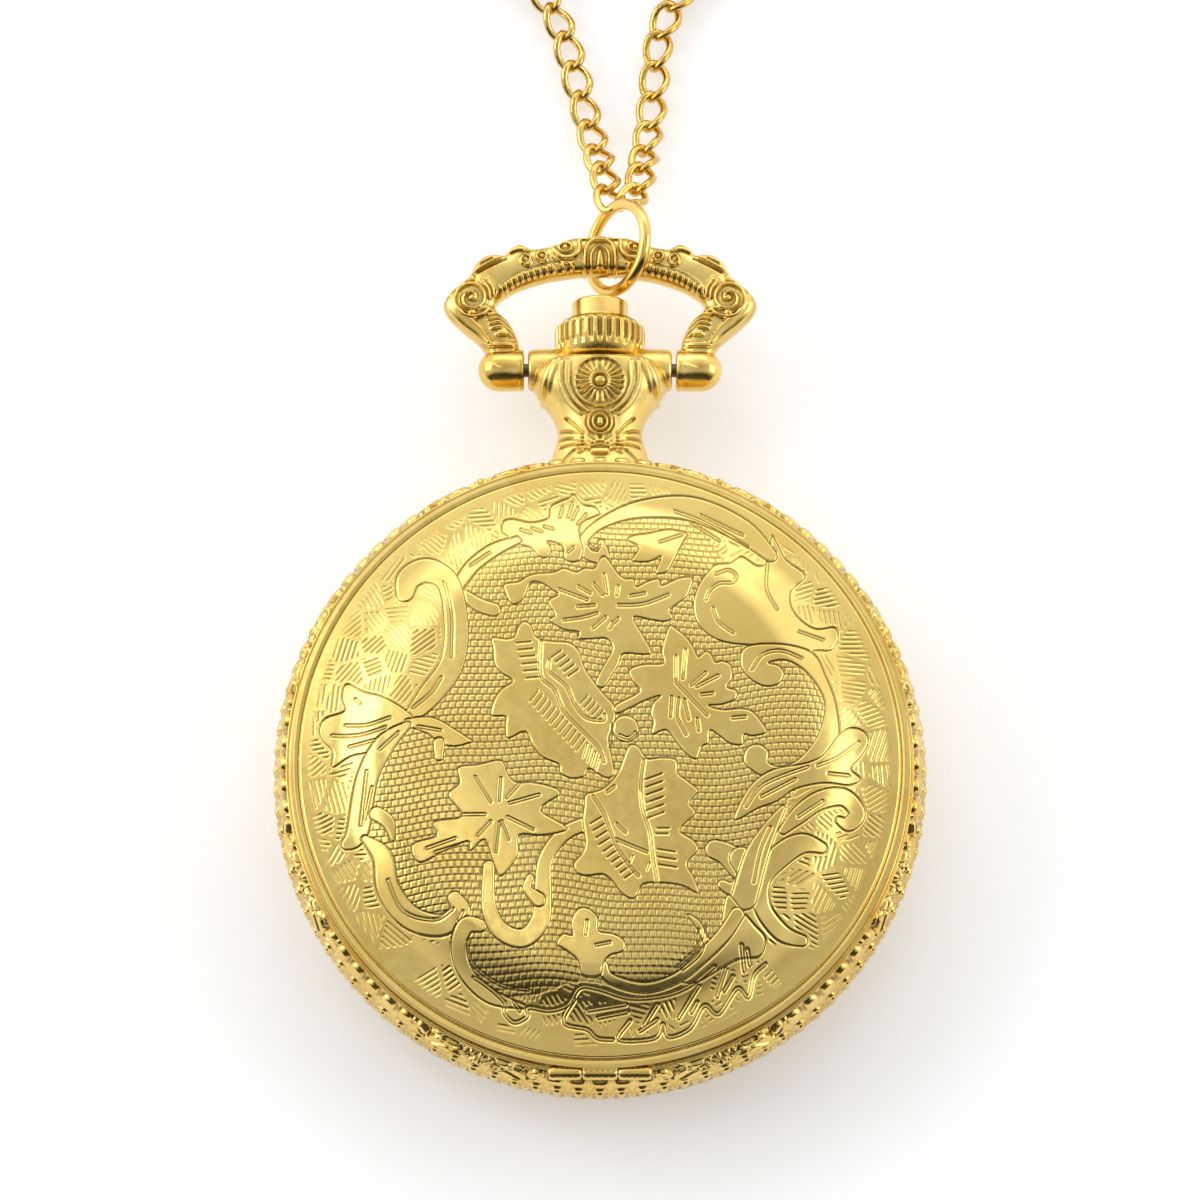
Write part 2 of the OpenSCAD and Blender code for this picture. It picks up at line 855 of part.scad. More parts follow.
case_band();
pendant();
pendant_tube();
back_cover();
back_gasket();
bezel();
crystal();
dial();
dial_markers();
movement_holder();
main_plate();
train_bridge();
circuit_board();
coil_winding();
stator();
battery();
battery_strap();
movement_screws();
hinge_pin();
lid_spring();
front_cover();
lid_catch();
push_sleeve();
stem_collet();
crown();
stem();
bow();
bow_pins();
jump_ring();
hour_hand();
minute_hand();
second_hand();
rotor();
fifth_wheel();
second_wheel();
third_wheel();
centre_wheel();
minute_wheel();
hour_wheel();
chain_left();
chain_right();
chain_coil();
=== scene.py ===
import json
import math

import bmesh
import bpy
import numpy as np
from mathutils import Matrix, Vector


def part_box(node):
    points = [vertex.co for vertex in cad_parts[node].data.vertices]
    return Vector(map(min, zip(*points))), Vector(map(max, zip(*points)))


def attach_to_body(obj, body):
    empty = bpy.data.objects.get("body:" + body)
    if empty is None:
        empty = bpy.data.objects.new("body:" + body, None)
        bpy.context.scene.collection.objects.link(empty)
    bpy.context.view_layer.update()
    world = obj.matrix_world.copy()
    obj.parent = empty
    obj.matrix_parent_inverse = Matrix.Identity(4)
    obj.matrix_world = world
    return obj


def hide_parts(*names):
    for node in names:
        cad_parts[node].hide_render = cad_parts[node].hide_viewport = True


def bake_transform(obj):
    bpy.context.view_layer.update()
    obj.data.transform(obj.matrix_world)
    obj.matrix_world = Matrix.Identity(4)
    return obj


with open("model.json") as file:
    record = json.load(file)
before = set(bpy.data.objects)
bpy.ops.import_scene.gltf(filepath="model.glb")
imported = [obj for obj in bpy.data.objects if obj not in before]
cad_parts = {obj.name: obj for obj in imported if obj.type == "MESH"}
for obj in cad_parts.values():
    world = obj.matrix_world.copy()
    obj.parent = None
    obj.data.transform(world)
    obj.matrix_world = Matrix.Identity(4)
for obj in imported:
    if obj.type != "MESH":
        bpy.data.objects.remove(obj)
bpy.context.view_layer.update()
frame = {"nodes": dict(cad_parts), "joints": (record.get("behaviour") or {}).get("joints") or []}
MM = 0.001
TURN = 2 * math.pi


# ---------- sizes, in millimetres, from the frame ----------

def box_mm(node):
    low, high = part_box(node)
    return np.array(low) / MM, np.array(high) / MM


def pivot_mm(joint, axis):
    """Where a joint's axis passes, along one of the three directions."""
    return joints[joint]["pos_m"][axis] / MM


joints = {j["name"]: j for j in frame["joints"]}
CASE_R = box_mm("case_band")[1][0]
CASE_H = box_mm("front_cover")[1][2]
MID_Z = CASE_H / 2
LIP_R = CASE_R - 1.4
BAND_HALF = 3.9
LIP_Z, BACK_Z = MID_Z + BAND_HALF, MID_Z - BAND_HALF
BORE_R = CASE_R - 2.7
COVER_T = 0.7
PIVOT_Y = pivot_mm("bow_swing", 1)
HINGE_Y, HINGE_Z = pivot_mm("cover_hinge", 1), pivot_mm("cover_hinge", 2)
DIAL_TOP = box_mm("dial")[1][2]
ring_low, ring_high = box_mm("jump_ring")
RING_C = (ring_low + ring_high) / 2
RING_WIRE = 0.9
RING_R = (ring_high[1] - ring_low[1] - RING_WIRE) / 2
RING_TURN = math.pi / 2 - math.radians(38)


# ---------- camera ----------

VIEW_TILT = math.radians(15.4)
VIEW_WIDTH = 87.84
VIEW_Y = 13.0
LENS = 120
SENSOR = 36
camera_data = bpy.data.cameras.new("camera")
camera_data.lens = LENS
camera_data.sensor_width = SENSOR
camera_data.clip_start = 0.01
camera_data.clip_end = 10
camera = bpy.data.objects.new("camera", camera_data)
bpy.context.scene.collection.objects.link(camera)
aim = Vector((0, VIEW_Y, MID_Z)) * MM
distance = VIEW_WIDTH * MM * LENS / SENSOR
camera.location = aim + Vector((0, -math.sin(VIEW_TILT), math.cos(VIEW_TILT))) * distance
camera.rotation_euler = (VIEW_TILT, 0, 0)
bpy.context.scene.camera = camera
bpy.context.scene.view_settings.view_transform = "Standard"


# ---------- materials ----------

def add_node(tree, kind, sources=None, **settings):
    """A shader node; sources gives each of its inputs a value or another node's output."""
    node = tree.nodes.new("ShaderNode" + kind)
    for name, value in settings.items():
        setattr(node, name, value)
    for name, source in (sources or {}).items():
        feed(tree, node.inputs[name], source)
    return node


def feed(tree, socket, source):
    if isinstance(source, bpy.types.NodeSocket):
        tree.links.new(source, socket)
    else:
        socket.default_value = source


def grey(v):
    return (v, v, v, 1)


def new_material(name, color, metallic, roughness):
    m = bpy.data.materials.new(name)
    m.use_nodes = True
    shader = m.node_tree.nodes["Principled BSDF"]
    for socket, value in (("Base Color", (*color, 1)), ("Metallic", metallic), ("Roughness", roughness)):
        feed(m.node_tree, shader.inputs[socket], value)
    return m, m.node_tree, shader


def add_noise(tree, scale, detail, distortion=0.0):
    place = add_node(tree, "TexCoord").outputs["Object"]
    sources = {"Scale": scale, "Detail": detail, "Distortion": distortion, "Vector": place}
    return add_node(tree, "TexNoise", sources).outputs["Fac"]


def ramp(tree, source, stops):
    """Colours over a value, each stop a position and a colour."""
    node = add_node(tree, "ValToRGB", {"Fac": source})
    while len(node.color_ramp.elements) < len(stops):
        node.color_ramp.elements.new(0.5)
    for element, (at, color) in zip(node.color_ramp.elements, stops):
        element.position = at
        element.color = color
    return node.outputs["Color"]


PATCH_SCALE = 220
# how dark the painted shade in the surface's hollows gets
HOLLOW_SHADE_DARK = 0.55
# how dark the painted shade in the deepest recesses gets
RECESS_SHADE_DARK = 0.12


def finish(name, bright, deep, smooth, rough, grain_mm=0.25, bump=0.15, depth=0.004, hollow_shade=0.55, metallic=1.0):
    """A surface with soft colour patches, painted shade in its hollows and recesses, and fine grain in its gloss.
    """
    m, tree, shader = new_material(name, bright, metallic, smooth)
    color = ramp(tree, add_noise(tree, PATCH_SCALE, 3, 0.6), [(0.38, (*deep, 1)), (0.58, (*bright, 1))])
    # painted shade: the colour darkens where the surface curves inwards, as shade would fall in its hollows
    hollow = add_node(tree, "NewGeometry").outputs["Pointiness"]
    recess_shade = ramp(tree, hollow, [(0.42, (*(c * HOLLOW_SHADE_DARK for c in deep), 1)), (0.49, grey(1))])
    sources = {"Factor": hollow_shade, "A": color, "B": recess_shade}
    mix = add_node(tree, "Mix", sources, data_type="RGBA", blend_type="MULTIPLY")
    # painted shade: points marked deep in their relief darken towards a dark gold
    recess_darkness = add_node(tree, "Attribute", attribute_name="recess_shade").outputs["Fac"]
    dark = add_node(tree, "Mix", {"Factor": recess_darkness, "A": mix.outputs["Result"],
                                  "B": (*(c * RECESS_SHADE_DARK for c in deep), 1)}, data_type="RGBA")
    feed(tree, shader.inputs["Base Color"], dark.outputs["Result"])
    grain = add_noise(tree, 1000 / grain_mm, 4)
    feed(tree, shader.inputs["Roughness"], ramp(tree, grain, [(0.35, grey(smooth)), (0.65, grey(rough))]))
    relief = add_node(tree, "Bump", {"Strength": bump, "Distance": depth * MM, "Height": grain})
    feed(tree, shader.inputs["Normal"], relief.outputs["Normal"])
    return m


LEMON = (0.87, 0.645, 0.205)
LEMON_DEEP = (0.82, 0.585, 0.165)
WARM = (0.84, 0.60, 0.185)
WARM_DEEP = (0.76, 0.50, 0.12)

# each look: its material's name, bright and deep colours, least and most roughness, grain size, bump and its
# depth, then the share of painted shade in hollows and metallic where they aren't the usual ones
LOOKS = {
    "cover": ("gold_engraved", LEMON, LEMON_DEEP, 0.17, 0.25, 0.6, 0.05, 0.002),
    "rim": ("gold_rim", WARM, WARM_DEEP, 0.14, 0.26, 0.3, 0.2, 0.01),
    "pendant": ("gold_satin", LEMON, LEMON_DEEP, 0.24, 0.40, 0.14, 0.7, 0.02),
    "bow": ("gold_bow", LEMON, WARM_DEEP, 0.14, 0.24, 0.3, 0.2, 0.01, 0.4),
    "crown": ("gold_crown", WARM, WARM_DEEP, 0.16, 0.28, 0.25, 0.2, 0.006),
    "chain": ("gold_chain", (0.96, 0.72, 0.26), (0.90, 0.62, 0.16), 0.10, 0.18, 0.4, 0.1, 0.004),
    "polished": ("gold_polished", WARM, (0.80, 0.55, 0.15), 0.10, 0.18, 0.8, 0.05, 0.003),
    "inside": ("gold_inside", WARM, WARM_DEEP, 0.14, 0.24, 0.3, 0.2, 0.005),
    "markers": ("gold_markers", (0.80, 0.60, 0.24), (0.66, 0.46, 0.14), 0.1, 0.2, 0.1, 0.1, 0.002),
    "brass": ("brass_inner", (0.78, 0.62, 0.32), (0.66, 0.48, 0.20), 0.25, 0.38, 0.15, 0.3, 0.004),
    "steel": ("steel_inner", (0.62, 0.63, 0.65), (0.46, 0.47, 0.50), 0.22, 0.36, 0.15, 0.3, 0.004),
    "plate": ("steel_plate", (0.74, 0.74, 0.73), (0.62, 0.62, 0.62), 0.28, 0.42, 0.1, 0.4, 0.006),
    "pin": ("bow_pin_dark", (0.20, 0.17, 0.12), (0.08, 0.06, 0.04), 0.35, 0.5, 0.2, 0.3, 0.004),
    "dial": ("dial_lacquer", (0.97, 0.96, 0.92), (0.94, 0.93, 0.88), 0.35, 0.45, 0.3, 0.1, 0.002, 0.0, 0.0),
    "ink": ("dial_print", (0.02, 0.02, 0.025), (0.01, 0.01, 0.015), 0.4, 0.5, 0.1, 0.1, 0.001, 0.0, 0.0),
    "hands": ("hands_lacquer", (0.03, 0.03, 0.04), (0.01, 0.01, 0.02), 0.12, 0.22, 0.2, 0.1, 0.001, 0.0, 0.6),
    "plastic": ("holder_plastic", (0.80, 0.80, 0.78), (0.70, 0.70, 0.67), 0.4, 0.55, 0.2, 0.3, 0.01, 0.3, 0.0),
    "circuit": ("circuit_mask", (0.05, 0.24, 0.11), (0.03, 0.16, 0.07), 0.25, 0.4, 0.3, 0.2, 0.006, 0.3, 0.0),
    "copper": ("copper_wire", (0.70, 0.33, 0.14), (0.50, 0.20, 0.08), 0.25, 0.4, 0.08, 0.6, 0.01),
    "gasket": ("gasket_rubber", (0.04, 0.04, 0.04), (0.02, 0.02, 0.02), 0.6, 0.8, 0.2, 0.4, 0.01, 0.3, 0.0),
    "crystal": ("crystal_glass", (0.97, 0.99, 1.0), (0.95, 0.98, 0.99), 0.01, 0.03, 0.8, 0.02, 0.0005, 0.0, 0.0),
}
MAT = {look: finish(*values) for look, values in LOOKS.items()}
MAT["crystal"].node_tree.nodes["Principled BSDF"].inputs["Transmission Weight"].default_value = 1.0


# ---------- mesh building ----------

def add_mesh(name, verts, faces, material, smooth=True):
    """A mesh object from points in millimetres."""
    mesh = bpy.data.meshes.new(name)
    mesh.from_pydata((np.asarray(verts, float) * MM).tolist(), [], [list(map(int, f)) for f in faces])
    mesh.materials.append(material)
    if smooth:
        mesh.polygons.foreach_set("use_smooth", [True] * len(mesh.polygons))
    mesh.update()
    obj = bpy.data.objects.new(name, mesh)
    bpy.context.scene.collection.objects.link(obj)
    return obj


def attach(obj, body, slot, *nodes):
    """Fixes a piece to a body and hides the CAD nodes that it stands for; slot is not used."""
    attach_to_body(obj, body)
    if nodes:
        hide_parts(*nodes)


def paint_recess_shade(obj, values):
    """Marks each point of a piece with how deep it lies in its relief, for the painted shade in its hollows."""
    layer = obj.data.attributes.new("recess_shade", "FLOAT", "POINT")
    layer.data.foreach_set("value", np.asarray(values, np.float32).ravel())


def grid_faces(rows, cols, wrap=False, flip=False, closed=False):
    """Quads over rows by cols points, joined up along the columns by wrap and along the rows by closed."""
    i, j = np.indices((rows if closed else rows - 1, cols if wrap else cols - 1))
    row, ahead, beside = i * cols, (i + 1) % rows * cols, (j + 1) % cols
    quads = np.stack([row + j, row + beside, ahead + beside, ahead + j], 2).reshape(-1, 4)
    return quads[:, ::-1] if flip else quads


def around(steps):
    """Evenly spaced angles over a full turn."""
    return TURN * np.arange(steps) / steps


def squared(wave, power):
    """A sine or cosine with its curve made squarer (a power under 1)."""
    return np.sign(wave) * np.abs(wave) ** power


def ease(t):
    """Rises smoothly from 0 to 1 as t does."""
    t = np.clip(t, 0, 1)
    return t * t * (3 - 2 * t)


def revolved(name, profile, steps, material, axis="z", centre=(0, 0, 0), radius_of=None):
    """A closed surface of revolution of (radius, height) points, listed from one end to the other."""
    profile = np.asarray(profile, float)
    angle = np.linspace(0, TURN, steps, endpoint=False)
    r = profile[:, :1] * np.ones(steps)
    h = profile[:, 1:] * np.ones(steps)
    if radius_of is not None:
        r = radius_of(r, h, angle[None, :])
    x, y = r * np.cos(angle), r * np.sin(angle)
    points = np.stack({"x": [h, x, y], "y": [x, h, y], "z": [x, y, h]}[axis], 2).reshape(-1, 3)
    faces = grid_faces(len(profile), steps, wrap=True, flip=(axis == "y"))
    return add_mesh(name, points + np.array(centre), faces, material)


def smooth_curve(points, per_span, closed=False):
    """A Catmull-Rom curve through the points, of any dimension."""
    p = np.asarray(points, float)
    n = len(p)
    out = []
    for i in range(n if closed else n - 1):
        if closed:
            a, b, c, d = p[(i - 1) % n], p[i], p[(i + 1) % n], p[(i + 2) % n]
        else:
            a, b, c, d = p[max(i - 1, 0)], p[i], p[i + 1], p[min(i + 2, n - 1)]
        for t in np.arange(per_span) / per_span:
            out.append(0.5 * (2 * b + (c - a) * t + (2 * a - 5 * b + 4 * c - d) * t ** 2
                              + (3 * b - a - 3 * c + d) * t ** 3))
    if not closed:
        out.append(p[-1])
    return np.array(out)


def detail(quick, full):
    return full


def arc_length(curve):
    return np.concatenate([[0], np.cumsum(np.linalg.norm(np.diff(curve, axis=0), axis=1))])


def oval(cx, cy, rx, ry, count=25):
    """Points round an oval, the last on the first."""
    return [(cx + rx * math.cos(t), cy + ry * math.sin(t)) for t in np.linspace(0, TURN, count)]


def dot(x, y):
    """A stroke too short to see, which its width makes into a dot."""
    return [(x, y), (x + 0.01, y)]


# ---------- relief: strokes drawn on a flat sheet ----------

FAR = 9.0


class Sheet:
    """A flat field of heights, in millimetres, that strokes are drawn on."""

    def __init__(self, low, high, step):
        self.low = np.array(low, float)
        self.step = step
        self.nx, self.ny = (int(math.ceil((high[i] - low[i]) / step)) + 1 for i in (0, 1))
        self.x = self.low[0] + step * np.arange(self.nx)
        self.y = self.low[1] + step * np.arange(self.ny)

    def blank(self, value=0.0):
        return np.full((self.ny, self.nx), value, np.float32)

    def span(self, axis, count, a, b, pad):
        """The first and last cells, along one axis, within pad of a stroke from a to b."""
        first = int((min(a[axis], b[axis]) - pad - self.low[axis]) / self.step)
        last = int((max(a[axis], b[axis]) + pad - self.low[axis]) / self.step) + 2
        return max(first, 0), min(last, count)

    def stroke(self, field, points, radii, reach=0.5, per_span=6):
        """Lowers field to the distance from a smooth stroke (x, y, x, y...) whose half-width follows radii."""
        points = np.reshape(points, (-1, 2)).astype(float)
        radii = np.broadcast_to(np.asarray(radii, float), (len(points),))
        data = np.column_stack([points, radii])
        curve = smooth_curve(data, per_span) if len(points) > 2 else data
        for a, b in zip(curve[:-1], curve[1:]):
            pad = max(a[2], b[2], 0) + reach
            i0, i1 = self.span(0, self.nx, a, b, pad)
            j0, j1 = self.span(1, self.ny, a, b, pad)
            if i0 >= i1 or j0 >= j1:
                continue
            px = self.x[None, i0:i1] - a[0]
            py = self.y[j0:j1, None] - a[1]
            dx, dy = b[0] - a[0], b[1] - a[1]
            t = np.clip((px * dx + py * dy) / max(dx * dx + dy * dy, 1e-9), 0, 1)
            d = np.hypot(px - t * dx, py - t * dy) - (a[2] + t * (b[2] - a[2]))
            part = field[j0:j1, i0:i1]
            np.minimum(part, d, out=part)
        return field

    def distance(self, strokes, radii, reach=0.5, per_span=5):
        """How far each cell lies from the nearest of the strokes."""
        field = self.blank(FAR)
        for points in strokes:
            self.stroke(field, points, radii, reach, per_span)
        return field

    def inside(self, outline):
        """True where a cell's centre is inside a closed outline."""
        mask = np.zeros((self.ny, self.nx), bool)
        for (x1, y1), (x2, y2) in zip(outline, np.roll(outline, -1, axis=0)):
            if y1 == y2:
                continue
            rows = (self.y >= min(y1, y2)) & (self.y < max(y1, y2))
            cross = x1 + (self.y[rows] - y1) * (x2 - x1) / (y2 - y1)
            mask[rows] ^= self.x[None, :] > cross[:, None]
        return mask

    def hollows(self, field, reach, depth):
        """How far each cell lies below the ones round it, as a share of depth."""
        cells = int(reach / self.step)
        mean = field
        for axis in (0, 1):
            mean = sum(np.roll(mean, k, axis) for k in range(-cells, cells + 1)) / (2 * cells + 1)
        return np.clip((mean - field) / depth - 0.15, 0, 1)

    def sample(self, field, x, y):
        """Heights at any points, between the cells."""
        u = np.clip((x - self.low[0]) / self.step, 0, self.nx - 1.001)
        v = np.clip((y - self.low[1]) / self.step, 0, self.ny - 1.001)
        i, j = u.astype(int), v.astype(int)
        fx, fy = u - i, v - j
        return ((field[j, i] * (1 - fx) + field[j, i + 1] * fx) * (1 - fy)
                + (field[j + 1, i] * (1 - fx) + field[j + 1, i + 1] * fx) * fy)


def rise(distance, width):
    """1 inside, falling smoothly to 0 at the edge of a shape whose edge is at distance 0."""
    return ease(0.5 - distance / width)


def groove(distance, half_width):
    """1 on a line, falling smoothly to 0 at half_width from it."""
    return ease(1 - np.abs(distance) / half_width)


class Relief(Sheet):
    """A sheet with a cast relief on it: ridges over a base, cut by trenches."""

    def __init__(self, low, high, step, gain, soft, base=0.0, moat=0.0):
        super().__init__(low, high, step)
        self.gain, self.soft, self.base, self.moat = gain, soft, base, moat
        self.height = self.blank(base)

    def ridge(self, strokes, radii, amount, soft=None):
        """Raises ridges along the strokes; a relief with a moat has each one ringed by a groove."""
        field = self.distance(strokes, radii)
        np.maximum(self.height, self.base + (self.gain * amount - self.base) * rise(field, soft or self.soft),
                   out=self.height)
        self.height -= self.moat * groove(field - 0.16, 0.1)

    def trench(self, strokes, half, depth, width):
        self.height -= depth * groove(self.distance(strokes, half), width)

    def lift(self, x, y):
        return self.sample(self.height, x, y)

    # painted shade: how far each point lies in a hollow of the relief
    def recess_shade(self, x, y, reach, depth):
        return self.sample(self.hollows(self.height, reach, depth), x, y)


# ---------- covers ----------

def dome(r, edge_r, rim, height, flat):
    """Height of a dome at radius r, from rim at its edge to height over the flat in its middle."""
    def shape(q):
        share = np.clip(q / edge_r, 0, 1)
        return 1 - 0.45 * share ** 3 - 0.4 * ease((share - 0.7) / 0.2)
    return rim + (height - rim) * np.minimum(1, shape(r) / shape(flat))


def disc_grid(radius, count):
    """Evenly spread points over a disc, as a square grid eased into a circle."""
    t = np.linspace(-1, 1, count)
    a, b = np.meshgrid(t, t, indexing="xy")
    wide = np.abs(a) > np.abs(b)
    safe_a, safe_b = (np.where(side == 0, 1e-9, side) for side in (a, b))
    r = np.where(wide, a, b)
    angle = np.where(wide, math.pi / 4 * b / safe_a, math.pi / 2 - math.pi / 4 * a / safe_b)
    return radius * r * np.cos(angle), radius * r * np.sin(angle)


BRICK, COURSE = 0.52, 0.50
GROUND_LOW = -0.075
BRICK_H = 0.05
CUT_FULL = 0.075


def bricks(x, y):
    """Height of a ground of small pillow-topped bricks, in courses that wander a little."""
    u = x + 0.35 * np.sin(0.31 * y + 0.7) + 0.15 * np.sin(0.9 * y)
    v = y + 0.40 * np.sin(0.27 * x) + 0.12 * np.sin(0.8 * x + 1.1)
    u = u + BRICK * 0.5 * (np.floor(v / COURSE) % 2)
    du = np.abs((u / BRICK) % 1 - 0.5) * BRICK
    dv = np.abs((v / COURSE) % 1 - 0.5) * COURSE
    gap = np.minimum(BRICK / 2 - du, COURSE / 2 - dv)
    return GROUND_LOW + BRICK_H * (1 - groove(gap, 0.10))


class Engraving(Sheet):
    """Line work cut in a flat sheet: each new shape hides what is under it."""

    def __init__(self, step, radius=22.0):
        super().__init__((-radius, -radius), (radius, radius), step)
        self.cut = self.blank()
        self.ground = np.zeros(self.cut.shape, bool)
        self.taken = np.zeros(self.cut.shape, bool)
        self.gx, self.gy = np.meshgrid(self.x, self.y)
        self.r = np.hypot(self.gx, self.gy)

    def engrave(self, distance, line, depth):
        self.cut = np.maximum(self.cut, depth * groove(distance, line))

    def shape(self, distance):
        """A smooth shape with a groove round it."""
        inside = distance < 0
        self.cut[inside] = 0
        self.ground[inside] = False
        self.taken |= distance < 0.25
        self.engrave(distance, 0.10, 0.10)

    def outline(self, points):
        """A closed shape drawn through the points (x, y, x, y...)."""
        curve = smooth_curve(np.reshape(points, (-1, 2)), 4, closed=True)
        distance = self.distance([np.vstack([curve, curve[:1]])], 0.0, 0.5, 1)
        self.shape(np.where(self.inside(curve), -distance, distance))

    def scroll(self, points, radii):
        """A curling band whose half-width follows radii."""
        self.shape(self.distance([points], radii, 0.5, 6))

    def lines(self, strokes, half=0.04, line=0.10, depth=0.085):
        """Open strokes: a pair of close grooves with a narrow crest between them."""
        distance = self.distance(strokes, half, 0.4)
        self.taken |= distance < 0.3
        self.engrave(distance - 0.05, line, depth)

    def scratch(self, strokes, line=0.10, depth=0.10):
        """Plain single grooves."""
        self.engrave(self.distance(strokes, 0.0, 0.4), line, depth)

    def hatch(self, start, end, count, reach):
        """A row of short strokes, evenly spaced from start to end, each of the vector reach."""
        start, end, reach = np.array(start, float), np.array(end, float), np.array(reach, float)
        feet = [start + (end - start) * k / max(count - 1, 1) for k in range(count)]
        self.scratch([[p, p + reach] for p in feet], 0.11, 0.09)

    def finish(self):
        """Joins the cuts and the bricks that are left into the cover's heights."""
        left = self.ground
        self.height = -self.cut
        self.height[left] += bricks(self.gx, self.gy)[left] * (1 - np.clip(self.cut / CUT_FULL, 0, 1))[left]
        return self


SEED = 7
PATCH = 1.9
HATCH_PITCH = 0.34
HATCH_R = 20.8


def hatch_border(art):
    """Patches of close strokes all round, outside the drawing, each patch with its own direction."""
    free = (~art.taken) & (art.r < HATCH_R)
    rng = np.random.default_rng(SEED)
    grid = np.arange(-20, 20.1, PATCH)
    centres = np.array([(p, q) for p in grid for q in grid if math.hypot(p, q) < 21.5])
    centres = centres + PATCH * 0.7 * (rng.random(centres.shape) - 0.5)
    lean = np.arctan2(centres[:, 1], centres[:, 0]) + rng.choice([0.2, 0.7, 1.2, -0.4, 1.7], len(centres))
    bare = (centres[:, 1] < -14) & (rng.random(len(centres)) < 0.4)
    strength = np.where(bare, 0, 0.6 + 0.4 * rng.random(len(centres)))
    px, py = art.gx[free], art.gy[free]
    near = np.full(len(px), 99.0)
    second = near.copy()
    patch = np.zeros(len(px), int)
    for k, (cx, cy) in enumerate(centres):
        d = np.hypot(px - cx, py - cy)
        closer = d < near
        second = np.where(closer, near, np.minimum(second, d))
        patch[closer] = k
        near = np.minimum(near, d)
    across = py * np.cos(lean[patch]) - px * np.sin(lean[patch])
    stroke = groove((across / HATCH_PITCH + 0.5) % 1 - 0.5, 0.3)
    ends = np.clip((second - near - 0.22) / 0.12, 0, 1)
    fade = np.clip((HATCH_R - art.r[free]) / 0.5, 0, 1) * strength[patch]
    art.cut[free] = np.maximum(art.cut[free], CUT_FULL * stroke * ends * fade)


